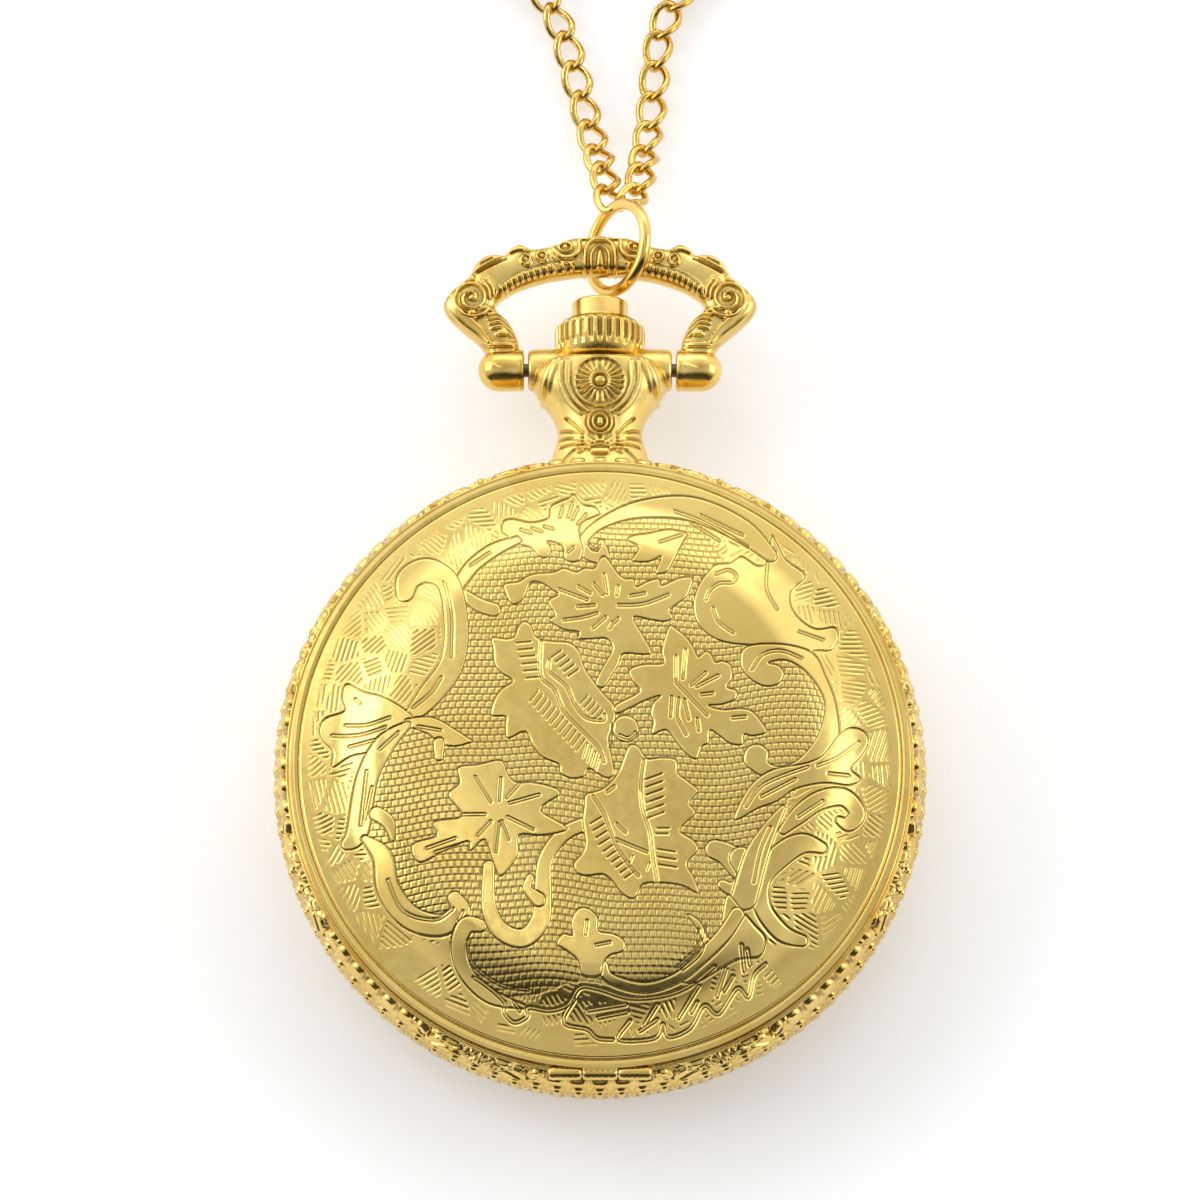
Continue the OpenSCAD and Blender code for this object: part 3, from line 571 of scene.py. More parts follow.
def engrave_front(step):
    """The drawing on the front cover, later shapes over earlier ones, with hatched patches round it."""
    art = Engraving(step)
    bounds = [-10.2,10, -10.5,6.7, -12.1,4.2, -13.8,2.3, -15.3,0.6, -16.5,-1.8, -17,-5.4, -15.3,-7.4,
        -14.9,-9.6, -13.4,-11.6, -10,-13.6, -9.3,-15.7, -6,-17.4, -1.4,-16.3, 3.1,-16.8, 7,-14.7, 10,-11.2,
        10.4,-8.5, 12,-5.4, 13.4,-3.4, 16.2,1, 16.3,4.2, 14.7,7.4, 11,9.5, 9,14, 6.6,18, 2.9,18.2, 0,17,
        -1.5,16, -5.9,15.8, -9.1,14]
    art.ground |= art.inside(smooth_curve(np.reshape(bounds, (-1, 2)), 4, closed=True))
    art.taken |= art.ground

    # right: the horned body, the big C and its leaves
    art.outline([8.3,14, 7.7,13.3, 7.1,12.4, 6.7,11, 6.9,9.7, 7.7,8.7, 8.9,8.1, 10.6,7.9, 12.9,7.8, 14.7,7.2,
        15.2,7.7, 16.6,7.9, 17.1,8.9, 16.8,9.6, 15.5,9.4, 14.4,10, 13.7,11.1, 13.8,12.4, 14.8,13.5, 13.5,14.6,
        12.9,15.8, 12.4,16.5, 12.3,14.8, 11.4,14.1, 10.2,14.8, 9.3,14.2])
    art.outline([10.5,7.8, 10,6.7, 10.4,5.7, 11.5,4.9, 12.6,5, 13.1,5.8, 12.7,6.4, 12,6.6, 13.3,6.8, 14.8,5.9,
        15.9,4.2, 15.9,2.7, 15.2,0.9, 14,-0.5, 12.8,-1, 11.9,-0.7, 11.9,0.1, 11.2,0.6, 10.4,0.3, 10.2,-0.7,
        10.9,-1.4, 11.7,-1.8, 13.8,-2.5, 15.5,-1.8, 16.6,-0.5, 17,1.4, 16.8,3.8, 16.1,5.8, 15.2,7.5, 12.9,8])
    art.outline([16.9,1.4, 17.8,2.1, 18.8,1.9, 19.1,1.1, 18.5,0, 17.8,-0.9, 18.5,-1.6, 17.6,-2.1, 15.9,-2.1,
        13.8,-2.6, 12.5,-3.5, 11.2,-4, 9.5,-4.9, 9.9,-3.6, 10.8,-2.2, 12.3,-1.2, 14.7,-0.7, 15.9,0])
    art.scroll([12.9,-5.6, 14,-4.5, 15.5,-3.4, 17.2,-3, 18.2,-4, 17.6,-4.9, 16.9,-4.7],
        [0.3, 0.6, 0.65, 0.65, 0.6, 0.5, 0.3])
    art.scroll([8.1,-7, 9,-7.4, 10.1,-8.5], [0.7, 0.8, 0.9])
    art.scroll([9.9,-7.6, 10.3,-8.8, 9.4,-9.8, 8.6,-9.5], [0.8, 0.7, 0.5, 0.35])
    art.scroll([15.6,-6.7, 14.2,-6.5, 12.7,-7.4, 11.4,-9.1, 11.4,-11.1, 12.7,-12.7, 14.2,-13.2],
        [0.4, 0.7, 0.8, 0.6, 0.6, 0.6, 0.4])
    art.scroll([10.1,-10.4, 11,-7.4, 12,-5.4, 12.9,-4], [0.9, 0.8, 0.5, 0.2])
    art.outline([10.1,-11.5, 9,-10.2, 8.6,-11.6, 8.4,-13.2, 7.7,-13.4, 7,-12.1, 6.1,-11.6, 6.9,-12.8, 7.2,-14,
        6.3,-15.2, 5,-16, 6.6,-16.3, 8.3,-15.4, 9.8,-14.6, 11.2,-14.4, 11.6,-13.2, 10.8,-12.3])

    # top: the long frame scroll, its lobed leaf and the small leaf
    art.scroll([0.1,15.6, 0.2,14.5, -0.9,14.7, -1.1,16, 0.4,17.4, 2.9,18.4, 6.6,18.5, 10.2,16.9, 12.3,15],
        [0.25, 0.45, 0.4, 0.35, 0.45, 0.7, 0.95, 0.9, 0.5])
    art.outline([-7.1,16.8, -7,17.5, -6.3,17.7, -5.1,17.4, -4.2,17.5, -3.7,17.8, -3.6,18.6, -3,19, -2.3,19.3,
        -1.9,19.6, -1.2,18.8, -0.4,18.6, 0,18.1, -0.4,17.8, -1.2,17.4, -1.5,16.8, -1.4,15.8, -1.2,15.1,
        -1.5,14.2, -2.2,14.1, -2.6,14.5, -2.6,15.2, -3.2,15.6, -3.8,15.7, -3.5,15.1, -3.9,14.4, -4.4,14.6,
        -4.9,15.2, -6,15.7, -6.7,16.4])
    art.outline([2,15.8, 2.4,16.2, 3.4,16.4, 4.4,16.7, 5.2,16.8, 6.3,16.5, 6.1,16, 5.2,14.1, 4.7,13.3, 4,13.3,
        4.4,14.5, 3.5,14.1, 2.3,14.2, 2.8,15.2])

    # left: the tall scroll, its leaf, and the fronds under it
    art.scroll([-10,12.7, -9.1,14, -7.6,15.2, -6,15.9], [0.5, 0.55, 0.55, 0.35])
    art.scroll([-9.8,11.8, -8.7,10.9, -7.6,10.5], [0.3, 0.5, 0.5])
    art.scroll([-14,12.1, -13.7,13.3, -12.4,13.8, -11,12.9, -10.3,10, -10.5,6.7, -12.1,4.2, -13.8,2.2],
        [0.65, 0.9, 0.95, 0.8, 0.85, 0.85, 0.85, 0.4])
    art.outline([-13.8,3.1, -15.5,4.2, -16.8,4.7, -18.1,5.4, -18.4,4.4, -18.2,3.4, -19.6,2.9, -20,2, -19.6,1.1,
        -19,0.4, -19,-0.7, -17.7,0, -16.2,0.2, -14.9,1, -13.6,1.7, -13.2,2.4])
    art.scroll([-13.6,2.2, -12.1,2, -10.6,1.1, -9.1,0.8], [0.3, 0.6, 0.65, 0.08])
    art.scroll([-11.4,0.7, -11.4,-0.3], [0.4, 0.3])
    art.scroll([-13.7,2, -15.3,0.6, -16.5,-1.8, -17.1,-5.4, -17.9,-6.3], [0.3, 0.75, 0.8, 0.8, 0.4])
    art.scroll([-15.8,-4.3, -14.9,-5, -14.6,-6.2], [0.5, 0.45, 0.15])
    art.scroll([-16.6,-6, -15.3,-7.4, -14.9,-9.6, -13.4,-11.6, -11.2,-12.3, -9.8,-11.4, -10.2,-10.4],
        [0.25, 0.7, 0.8, 0.8, 0.75, 0.7, 0.45])
    art.scroll([-8.4,-12.4, -9.4,-12.4, -9.9,-13.9, -9.3,-15.7, -7.6,-17.2, -5.4,-17.9],
        [0.45, 0.6, 0.55, 0.5, 0.5, 0.15])
    art.scroll([-7.8,-8.2, -7.8,-10.9, -7,-12.7, -5.4,-13.3, -4.2,-12.1, -4,-10.1, -3.9,-8, -3.2,-6.6,
        -2.2,-5.7, -1,-5.2], [0.4, 0.5, 0.6, 0.65, 0.65, 0.6, 0.5, 0.5, 0.5, 0.5])
    art.scroll([-4.3,-10.6, -5.1,-9.8, -4.9,-9], [0.5, 0.3, 0.25])

    # bottom: the trefoil and the long bowl
    art.scroll([0.2,-15.1, 0.7,-16.1, 3.1,-16.7, 5.4,-16, 7,-14.7, 8.6,-13.1, 9.6,-11.6],
        [0.3, 0.35, 0.35, 0.35, 0.45, 0.5, 0.5])
    art.outline([-1.2,-15.9, -1.5,-14.9, -2.3,-14.2, -3,-13.7, -2.6,-13, -1.9,-13.1, -2,-12.2, -1.6,-11.3,
        -0.9,-11.2, -0.2,-11.8, -0.1,-12.8, 0.9,-13, 1.7,-13.5, 1.6,-14.2, 0.7,-14.5, 0.2,-15.1, 0,-15.9])

    # middle: leaves first, then the flowers and the bud over them
    art.outline([2.1,0.5, 2.7,0.4, 3.1,-0.2, 3.4,-0.5, 4.5,-0.4, 5.4,-0.6, 5.5,-1.5, 6.3,-2.2, 6.9,-2.7,
        6.7,-3.1, 6.3,-3.7, 6.7,-4.4, 5.6,-5.6, 6.5,-6.3, 6.9,-7, 6.1,-8, 6.6,-9, 6.9,-10.1, 5.8,-9.6, 4.4,-9.4,
        3,-9.5, 2.4,-10.5, 1.6,-10.2, 0.9,-9.3, 0.2,-8.8, -0.9,-8.9, -1.6,-8.7, -1.8,-8, -1.2,-7.2, -1,-6.4,
        -1.2,-5, -1.1,-4, -1,-3.1, -0.4,-2.9, 0.3,-2.6, 1,-1.9, 1.4,-1.2, 1.7,-0.4])
    art.outline([-7.7,8.4, -6.7,8.3, -6.1,8.5, -5.8,9.3, -5.4,9.6, -4.9,9.3, -4.6,8.5, -4,8.2, -3.2,8.1, -2.2,8,
        -1.5,7.4, -1.1,6.2, -0.4,5.1, 0.3,4.2, 1,3.4, 1.1,2.7, 0.9,1.9, 0.6,1.1, 0.7,0.3, 0.9,-0.8, 1,-1.5,
        0.6,-1.9, -0.1,-1.6, -0.8,-1.2, -1.2,-1.8, -2.1,-1.9, -2.8,-1.5, -2.9,-0.9, -4,-0.4, -4.7,0.4, -5.3,1.5,
        -6.5,1, -6.7,1.9, -6.7,2.6, -7.7,2.7, -7.5,3.8, -7,4.6, -6.2,5.2, -7,5.8, -7.5,6.5, -7.6,7.6])
    art.outline([-10,-1.1, -8.6,-0.9, -7,-0.6, -6.5,-1.6, -5.9,-2.2, -4.7,-2.2, -3.2,-2.6, -2.9,-3.1, -4.2,-4.2,
        -2.3,-5.5, -4,-6, -5.7,-6, -5.8,-7.4, -6.9,-8.9, -7.4,-8.1, -8.1,-6.3, -9.1,-7.1, -9.3,-6.4, -11,-7.1,
        -12.7,-7.9, -13.2,-6.6, -11.5,-6, -11.7,-5, -9.7,-4.6, -10.7,-3.1, -9.9,-2.2])
    art.outline([5,9.3, 5.5,9, 6.1,8.5, 6.6,7.8, 7,7, 7.5,7.4, 7.9,7.2, 8.2,6.6, 8.7,6.7, 9.3,6.4, 9.4,5.5,
        9,4.8, 9.7,4.5, 9.6,3.9, 8.7,3.5, 7.7,3.4, 8.7,3.1, 10,3.2, 10.8,3, 11.4,2.3, 11.8,1.5, 10.8,1.2,
        10.2,1.3, 10.1,0.6, 9.3,0.6, 8.6,1.1, 7.8,1.6, 7.7,0.7, 7.2,0.4, 6.8,-0.5, 6.1,-0.1, 5.5,0.6, 4.7,1.6,
        3.7,1.3, 3.8,2.2, 3.6,2.8, 3.8,3.6, 4.3,4.1, 3.3,3.8, 2.1,3.2, 1.2,2.8, 1.1,3.4, 2.8,4.4, 2.3,5.2,
        2.1,6, 3.1,6.4, 4.5,6.5, 4.4,7.4, 4.7,8.6])
    art.outline([-6.9,12.3, -6.5,12.5, -5.8,12.6, -5.2,13, -4.6,13.2, -3.3,13.3, -2.6,13.6, -1.7,13.3,
        -1.1,13.6, -0.4,13.6, -0.1,14.2, 0.3,14.5, 0.7,14.1, 1.3,13.2, 1.8,12.8, 2.4,12.8, 2.6,12.2, 3.4,12.6,
        4.2,12.8, 4.4,12.3, 5.1,12.6, 5.8,12.9, 6.6,12.9, 6.5,12.2, 6.1,11.4, 5,10.5, 5.2,10, 4.7,9.6, 3.7,9.7,
        2.4,9.9, 3.1,8.5, 3.6,7.2, 1.7,7.2, 1.3,6.4, 0.7,5.4, 0.2,4.7, -0.3,5.1, 0.3,6.4, 0.9,7.6, 0.5,8.3,
        -0.4,8.3, -1.6,8.3, -1.5,8.8, -2.6,9, -3.6,9.7, -3.2,10.1, -3.7,11.1, -3,11.6, -3.3,11.9, -4.2,12.5,
        -5,12.5, -5.4,11.5, -6,10.9, -6.5,11.2])
    art.scroll([1.8,1.75, 1.85,1.65], [0.9, 0.9])

    art.lines([
        # veins of the top flower and its stamens
        [-2.9,12, -0.9,11.2], [-1.5,12.2, -0.7,11.7], [-0.4,12.4, 0.2,11.6], [0.3,13.1, 0.5,11.7],
        [1.3,12.2, 1.2,11.6], [2.2,11.5, 3.2,11.7], [1.3,10.8, 3.1,10.9, 4.9,11.6], [-1.6,10.7, -0.4,10.8],
        [-2.6,9.7, -1.2,9.9, -0.2,10.2], [0.4,9.9, -0.5,9.1], [0.7,9.1, 0.9,9.5], [1,9.5, 1.3,9.8],
        # right flower
        [5.4,7, 5.4,5.4], [6.1,7.5, 5.9,5.4], [6.5,4.9, 7.5,5.8], [6.9,4.8, 8.4,5.6], [7.2,4.2, 8,4.3],
        [5.4,5.1, 7.6,2.7], [5.1,4, 5,2.6], [5.6,3.9, 5.5,2.6, 6.1,1.3], [6,3.8, 6.3,2.4], [6.9,2.4, 7,1.6],
        [9.4,2.5, 10.3,2.6],
        # lower-left flower
        [-8.8,-1.8, -7.7,-3.6], [-7,-1.9, -7.1,-3.5], [-5.7,-2.3, -6.6,-3.3], [-4.3,-3.1, -6.4,-3.7],
        [-6.5,-4.7, -4.7,-5.6], [-7.1,-5.1, -7.3,-7.2], [-6.9,-5, -6.4,-6.3], [-7.7,-5, -8.6,-6],
        [-8.1,-4.5, -9.7,-4.5], [-12.2,-6.9, -10.2,-6.2], [-11.6,-7.2, -10,-6.7],
        # bud
        [1.4,1.2, 2,1, 2.5,1.4], [0.9,2, 0.7,0.4],
        # left leaf: fold and spine
        [-4.2,8.1, -4.2,5.6, -3.2,4.5, -2.5,2.9, -1,1.3, -0.1,0.3, 0.3,-0.7], [-3.6,6.7, -3.6,5.9, -2.4,4.8,
        -1.8,3.5, -1,2.5, 0.2,2.3, 0.3,2.7],
        # lower leaf: two spines and a branch
        [3.1,-0.6, 2.9,-2.2, 3,-4.1, 3.5,-5.7, 3.7,-7.4, 4,-9.3],
        [-0.5,-3.2, 0.3,-4.5, 0.9,-6.1, 1.3,-7, 2.1,-8.2, 2.7,-8.9], [1.1,-6.3, 3.3,-7.2], [1.2,-5.2, 1.8,-5.8],
        [0.5,-2.9, 1,-2.5],
        # top scroll, small leaf and lobed leaf
        [5.4,18.3, 7.9,17.3, 10.7,15.6], [6.6,17.4, 8.6,16], [7.3,18, 10.3,16.5], [4.3,15.7, 5.9,16.4],
        [-5.7,16.8, -5,16.5], [-4.9,16.9, -4.2,16.6], [-4,17, -3.4,16.8], [-2.9,17.8, -2.7,18.6],
        [-2.3,17.8, -2,18.9], [-2,17.6, -1.6,18.5], [-1.6,17.2, -1,18], [-2.3,14.8, -1.9,15.2],
        [-0.8,15.4, -0.3,15, 0,15.3],
        # horned body
        [8.3,13.2, 9.2,13.6, 9.8,13.2, 9.5,12.6, 8.6,12.5, 7.9,12, 7.6,11.3], [12.1,14.5, 12,12.2, 12.7,10.7],
        [8.1,10.6, 8.5,9.6, 9.5,8.8], [14.2,9.1, 16,8.6], [10.8,6.1, 11.6,7.2, 12.9,7.5, 14.4,7],
        # right leaf and fronds
        [10.3,-3.9, 11.6,-2.3, 14.7,-1], [11.4,-3.2, 13.8,-1.9], [15.4,-0.9, 16.8,-0.2, 18.4,1.1],
        [16.2,-1.4, 17.6,-1.4], [14,-4.6, 15.7,-3.4], [10.8,-9.3, 11.3,-7, 12,-5.4],
        # left leaf and its bands
        [-18.1,2.3, -16.5,2.2, -14.9,2.6], [-19.1,1.6, -17,1.5, -15.2,1.9], [-17.8,0.7, -16,1],
        [-17.4,4.2, -17.1,3.9], [-15.6,0.3, -14.3,1.5], [-11.2,12.8, -10.6,10.2, -10.6,7],
        [-11.3,5.5, -12,4.4, -13.3,3.3], [-12.9,1.9, -11.3,1.6], [-16.5,-1.2, -16.9,-5],
        [-16.1,-2.4, -16.6,-4.6], [-14.9,-9, -13.8,-11.2, -11.6,-11.9, -10.3,-11.2],
        [-9.2,-13.4, -9,-14.9, -7,-16.4, -5,-16.8], [-9.6,-11.4, -9.9,-12], [-9.3,14, -7.9,15],
        [6.9,-12.7, 6.7,-14, 5.5,-15.2], [7.4,-12.4, 7.1,-14.2, 5.8,-15.4], [-0.9,-12.1, -1,-13],
        [-0.3,-13.8, 0.7,-13.6],
    ])
    for start, end, count, reach in [
            ((-6, 8), (-5.3, 5.4), 6, (1.1, 0.1)), ((-3.5, 6.9), (-2.3, 5.5), 5, (0.75, 0.55)),
            ((-4.4, 4.5), (-1.1, 0.9), 12, (-0.6, -0.8)), ((-0.9, 4.1), (0.2, 3), 5, (-0.55, -0.6)),
            ((-0.9, 0.6), (0, -0.3), 4, (-0.3, -1)), ((3.2, -2), (3.3, -4.8), 6, (1.2, 0.45)),
            ((4, -5.5), (3.9, -5.9), 2, (0.9, 0)), ((4, -7), (4.1, -8.1), 3, (1.3, -0.2)),
            ((0.1, -4.7), (0.7, -6.2), 4, (-0.8, -0.5)), ((0.9, -6.7), (2.4, -8.6), 6, (-0.7, -0.5)),
            ((3.5, -8), (2.3, -7.5), 2, (-0.2, -0.5))]:
        art.hatch(start, end, count, reach)

    # the ragged edge along the bottom
    art.lines([
        [-8.8,-15.9, -7.9,-16.5, -6.7,-17.6, -6.7,-18.3, -6,-19, -5.1,-18.6, -5,-18, -3.5,-18.2, -2.2,-17.8,
        -1.4,-16.7, -0.1,-16.8, 2.1,-17.4, 4.5,-17.2, 6.3,-16.5, 8,-15.2], [-1.8,-17.5, -2.5,-18.6, -2.3,-19.2,
        -0.9,-19.5, -0.2,-20.1, 0.9,-20.2], [2.1,-18.9, 1.3,-20.2, 3.8,-20.1, 4.4,-19.1, 4.8,-20, 6.3,-19.4,
        7.3,-17.8, 8.3,-18.4, 9.6,-16.6, 10.4,-17.2, 10.8,-15.7, 11.6,-14.9], [-0.8,-18.2, 1.8,-17.8],
        [-0.1,-18.7, 1.9,-18.3], [3.1,-19.2, 4,-17.8], [2.8,-19.6, 4,-18.8], [5.5,-18.7, 6.9,-16.5],
        [6.4,-18.3, 6.8,-17.6], [8.2,-17.2, 8.8,-15.3], [8.7,-16.8, 9.3,-15.8], [10.1,-15.4, 9.9,-13.7],
        [10.5,-15, 10.3,-14], [-6,-17.6, -5.6,-18.2]
    ], 0.05, 0.11, 0.09)

    hatch_border(art)
    return art.finish()


LID_EDGE = LIP_R - 0.65
LID_H = CASE_H - LIP_Z
LINE_SHADE = 0.8
FRONT_CELL, BACK_CELL = 0.055, 0.09
FRONT_FLAT, BACK_FLAT = 1.0, 9.0


def lid_profile(r, crown_h, flat):
    """Height of a cover over its lip plane: a dome inside a narrow raised lip."""
    rim = 0.34 + 0.04 * groove(r - (LIP_R - 0.3), 0.32)
    step = 0.14 * groove(r - LID_EDGE, 0.12)
    return np.where(r < LID_EDGE, dome(r, LID_EDGE, 0.30, crown_h, flat), rim) - step


def cover_disc(name, count, crown_h, flat, base_z, face, art):
    """The outer face of a cover, its cut lines shaded; face is 1 for the front and -1 for the back."""
    x, y = disc_grid(LIP_R, count)
    cut = art.sample(art.height, x, y)
    z = base_z + face * (lid_profile(np.hypot(x, y), crown_h, flat) + cut)
    points = np.stack([x, y, z], 2).reshape(-1, 3)
    disc = add_mesh(name, points, grid_faces(count, count, flip=face < 0), MAT["cover"])
    # painted shade in the cut lines, darker where they are cut deeper
    paint_recess_shade(disc, LINE_SHADE * np.clip((-cut - 0.03) / 0.05, 0, 1))
    return disc


def cover_hollow(radii, base_z, face, depth):
    """The inner face of a cover, under its dome, through the given radii."""
    return [(max(r, 0.01), base_z + face * dome(r, LIP_R - 1, 0.1, depth, 1.0)) for r in radii]


lid = cover_disc("cover_front_face", detail(560, 800), LID_H, FRONT_FLAT, LIP_Z, 1, engrave_front(FRONT_CELL))
lid_back = revolved("cover_front_inside", [
    (LIP_R, LIP_Z + 0.345), (LIP_R, LIP_Z + 0.03), (LIP_R - 0.04, LIP_Z), (LIP_R - 1, LIP_Z)
] + cover_hollow(np.linspace(0, LIP_R - 1.0, 24)[::-1], LIP_Z, 1, LID_H - 0.8), 256, MAT["polished"])
attach(lid, "front_cover", "gold_cover", "front_cover")
attach(lid_back, "front_cover", "gold_cover")


# ---------- case band: beads and cast leaves ----------

BAND = np.array([[LIP_R + 0.02, LIP_Z - 0.05], [LIP_R + 0.35, LIP_Z - 0.15], [CASE_R - 0.25, MID_Z + 1.6],
                 [CASE_R, MID_Z + 0.7], [CASE_R, MID_Z]])
SECTORS = 8
SECTOR_L = TURN * 23 / SECTORS
BEAD_PITCH = 1.62
HINGE_GAP = 3.7


def band_relief():
    """Heights over one sector of the band: x along it, y down from the front lip to the middle."""
    half = SECTOR_L / 2
    cast = Relief((-half - 1, -0.5), (half + 1, 4.9), 0.05, 1.8, 0.2, base=-0.12, moat=0.12)
    ridge = cast.ridge
    for k in range(-2, 3):
        field = cast.distance([[(BEAD_PITCH * k, 1.1), (BEAD_PITCH * k, 1.4)]], 0.0, 0.9, 2)
        bead = 0.36 * np.clip(1 - (field / 0.66) ** 4, 0, 1) ** 0.6 - 0.04
        np.maximum(cast.height, np.where(field < 0.66, bead, -1), out=cast.height)
        cast.height -= 0.2 * groove(field - 0.73, 0.12)
    for s in (-1, 1):
        for points, radii, amount in (
                ([4, 0.75, 4.4, 1.6, 5.1, 2], [0.16, 0.2, 0.1], 0.12),
                ([4.55, 0.85, 4.95, 1.25], 0.3, 0.16),
                ([5.2, 2.1, 6.2, 1.2, 7.5, 0.8], [0.12, 0.4, 0.08], 0.14),
                ([5.7, 2.4, 6.9, 1.9, 8, 1.9], [0.1, 0.34, 0.08], 0.12),
                ([5.5, 0.7, 6, 0.5, 6.4, 0.75], 0.13, 0.1),
                ([7.2, 1.5, 7.6, 1.2, 8, 1.3, 7.9, 1.6], 0.11, 0.12)):
            ridge([np.reshape(points, (-1, 2)) * (s, 1)], radii, amount)
        for a in np.radians(range(0, 360, 60)):
            c, d = math.cos(a), math.sin(a)
            ridge([[(s * half + q * c, 1.35 + q * d) for q in (0.45, 0.72)]], 0.17, 0.13)
        ridge([[(s * half, 1.35), (s * half, 1.36)]], 0.24, 0.2)
        ridge([[(s * 8, 0.7), (s * 8.5, 2.4)]], 0.08, 0.05)
    for k in range(-6, 7):
        x = 1.5 * k
        ridge([[(x - 0.5, 3.3), (x, 2.75), (x + 0.5, 3.3)]], [0.08, 0.2, 0.08], 0.06)
        ridge([[(x, 3.45), (x, 4.9)]], [0.28, 0.12], 0.06)
        ridge([[(x + 0.75, 4.1), (x + 0.75, 4.2)]], 0.22, 0.04)
    cast.height += 0.14 * groove(cast.y[:, None] - 0.32, 0.22) + 0.05 * groove(cast.y[:, None] - 2.42, 0.12)
    return cast


def build_band():
    """The band: its relief from the front lip to the middle, the mirror image below it, and its bore."""
    cast = band_relief()
    lengths = arc_length(BAND)
    s = np.linspace(0, lengths[-1], 56)
    front = np.stack([np.interp(s, lengths, BAND[:, i]) for i in (0, 1)], 1)
    tangent = np.gradient(front, axis=0)
    normal = np.stack([-tangent[:, 1], tangent[:, 0]], 1)
    normal /= np.linalg.norm(normal, axis=1)[:, None]
    steps = detail(900, 1400)
    angle = around(steps)
    s = s[:, None]
    spots = np.broadcast_arrays(((angle * SECTORS / TURN + 0.5) % 1 - 0.5)[None, :] * SECTOR_L, s)
    lift = cast.lift(*spots) * np.clip(s / 0.12, 0, 1)
    # painted shade in the hollows of the band's relief
    deep = cast.recess_shade(*spots, 0.3, 0.16) * np.clip((s - 0.3) / 0.3, 0, 1)
    # the relief stops beside the hinge, below the lip
    beside = np.clip((np.abs(CASE_R * (angle - 0.75 * TURN)) - HINGE_GAP) / 0.3, 0, 1)
    keep = 1 - (1 - beside) * (1 - np.clip((s - 1.0) / 0.35, 0, 1))
    lift = lift * keep + (1 - keep) * -0.1
    deep = deep * keep
    r, z = (front[:, i][:, None] + lift * normal[:, i][:, None] for i in (0, 1))
    top, low = LIP_Z, BACK_Z
    inner = np.array([[LIP_R, low + 0.05], [BORE_R + 0.04, low + 0.75], [BORE_R, low + 0.8],
                      [BORE_R, top - 0.8], [BORE_R + 0.04, top - 0.75], [LIP_R, top - 0.05]])
    flat = np.ones(steps)
    rows_r = np.vstack([r, r[:-1][::-1], inner[:, :1] * flat, r[:1]])
    rows_z = np.vstack([z, 2 * MID_Z - z[:-1][::-1], inner[:, 1:] * flat, z[:1]])
    points = np.stack([rows_r * np.cos(angle), rows_r * np.sin(angle), rows_z], 2).reshape(-1, 3)
    obj = add_mesh("case_band_relief", points, grid_faces(len(rows_r), steps, wrap=True, flip=True), MAT["rim"])
    paint_recess_shade(obj, np.vstack([deep, deep[:-1][::-1], np.zeros((len(inner) + 1, steps))]))
    return obj


def barrel(name, x0, x1, body):
    """One barrel of the hinge, with turned bands."""
    bands = [(0.55 - 0.05 * (k % 2) - 0.06 * (k in (0, 12)), x0 + (x1 - x0) * t)
             for k, t in enumerate(np.linspace(0, 1, 13))]
    obj = revolved(name, [(0.26, x0)] + bands + [(0.26, x1)], 32, MAT["rim"], "x", (0, HINGE_Y, HINGE_Z))
    attach(obj, body, "gold_rim")


attach(build_band(), "case", "gold_rim", "case_band")
barrel("hinge_barrel_left", -3.6, -1.32, "case")
barrel("hinge_barrel_right", 1.32, 3.6, "case")
barrel("hinge_barrel_lid", -1.2, 1.2, "front_cover")


# ---------- pendant ----------

SIDES = ((-1, "left"), (1, "right"))
NECK_Y, SEAT_Y = 22.3, 31.3
FLUTE_W = 0.17
NECK = [
    # y, half-width, half-thickness
    (NECK_Y, 4.4, 3.6), (23, 3.85, 3.3), (24, 3.5, 3.1), (25.2, 3.15, 3), (26.2, 3.2, 3.05), (27.2, 3.65, 3.2),
    (28, 4.2, 3.35), (28.8, 4.75, 3.5), (29.5, 5.05, 3.58), (30.2, 5.05, 3.6), (30.8, 4.6, 3.6),
    (31.1, 4.1, 3.58), (SEAT_Y, 3.6, 3.45)
]


def pair(points):
    """A stroke and its mirror image in the middle line."""
    points = np.reshape(points, (-1, 2))
    return [points, points * (-1, 1)]


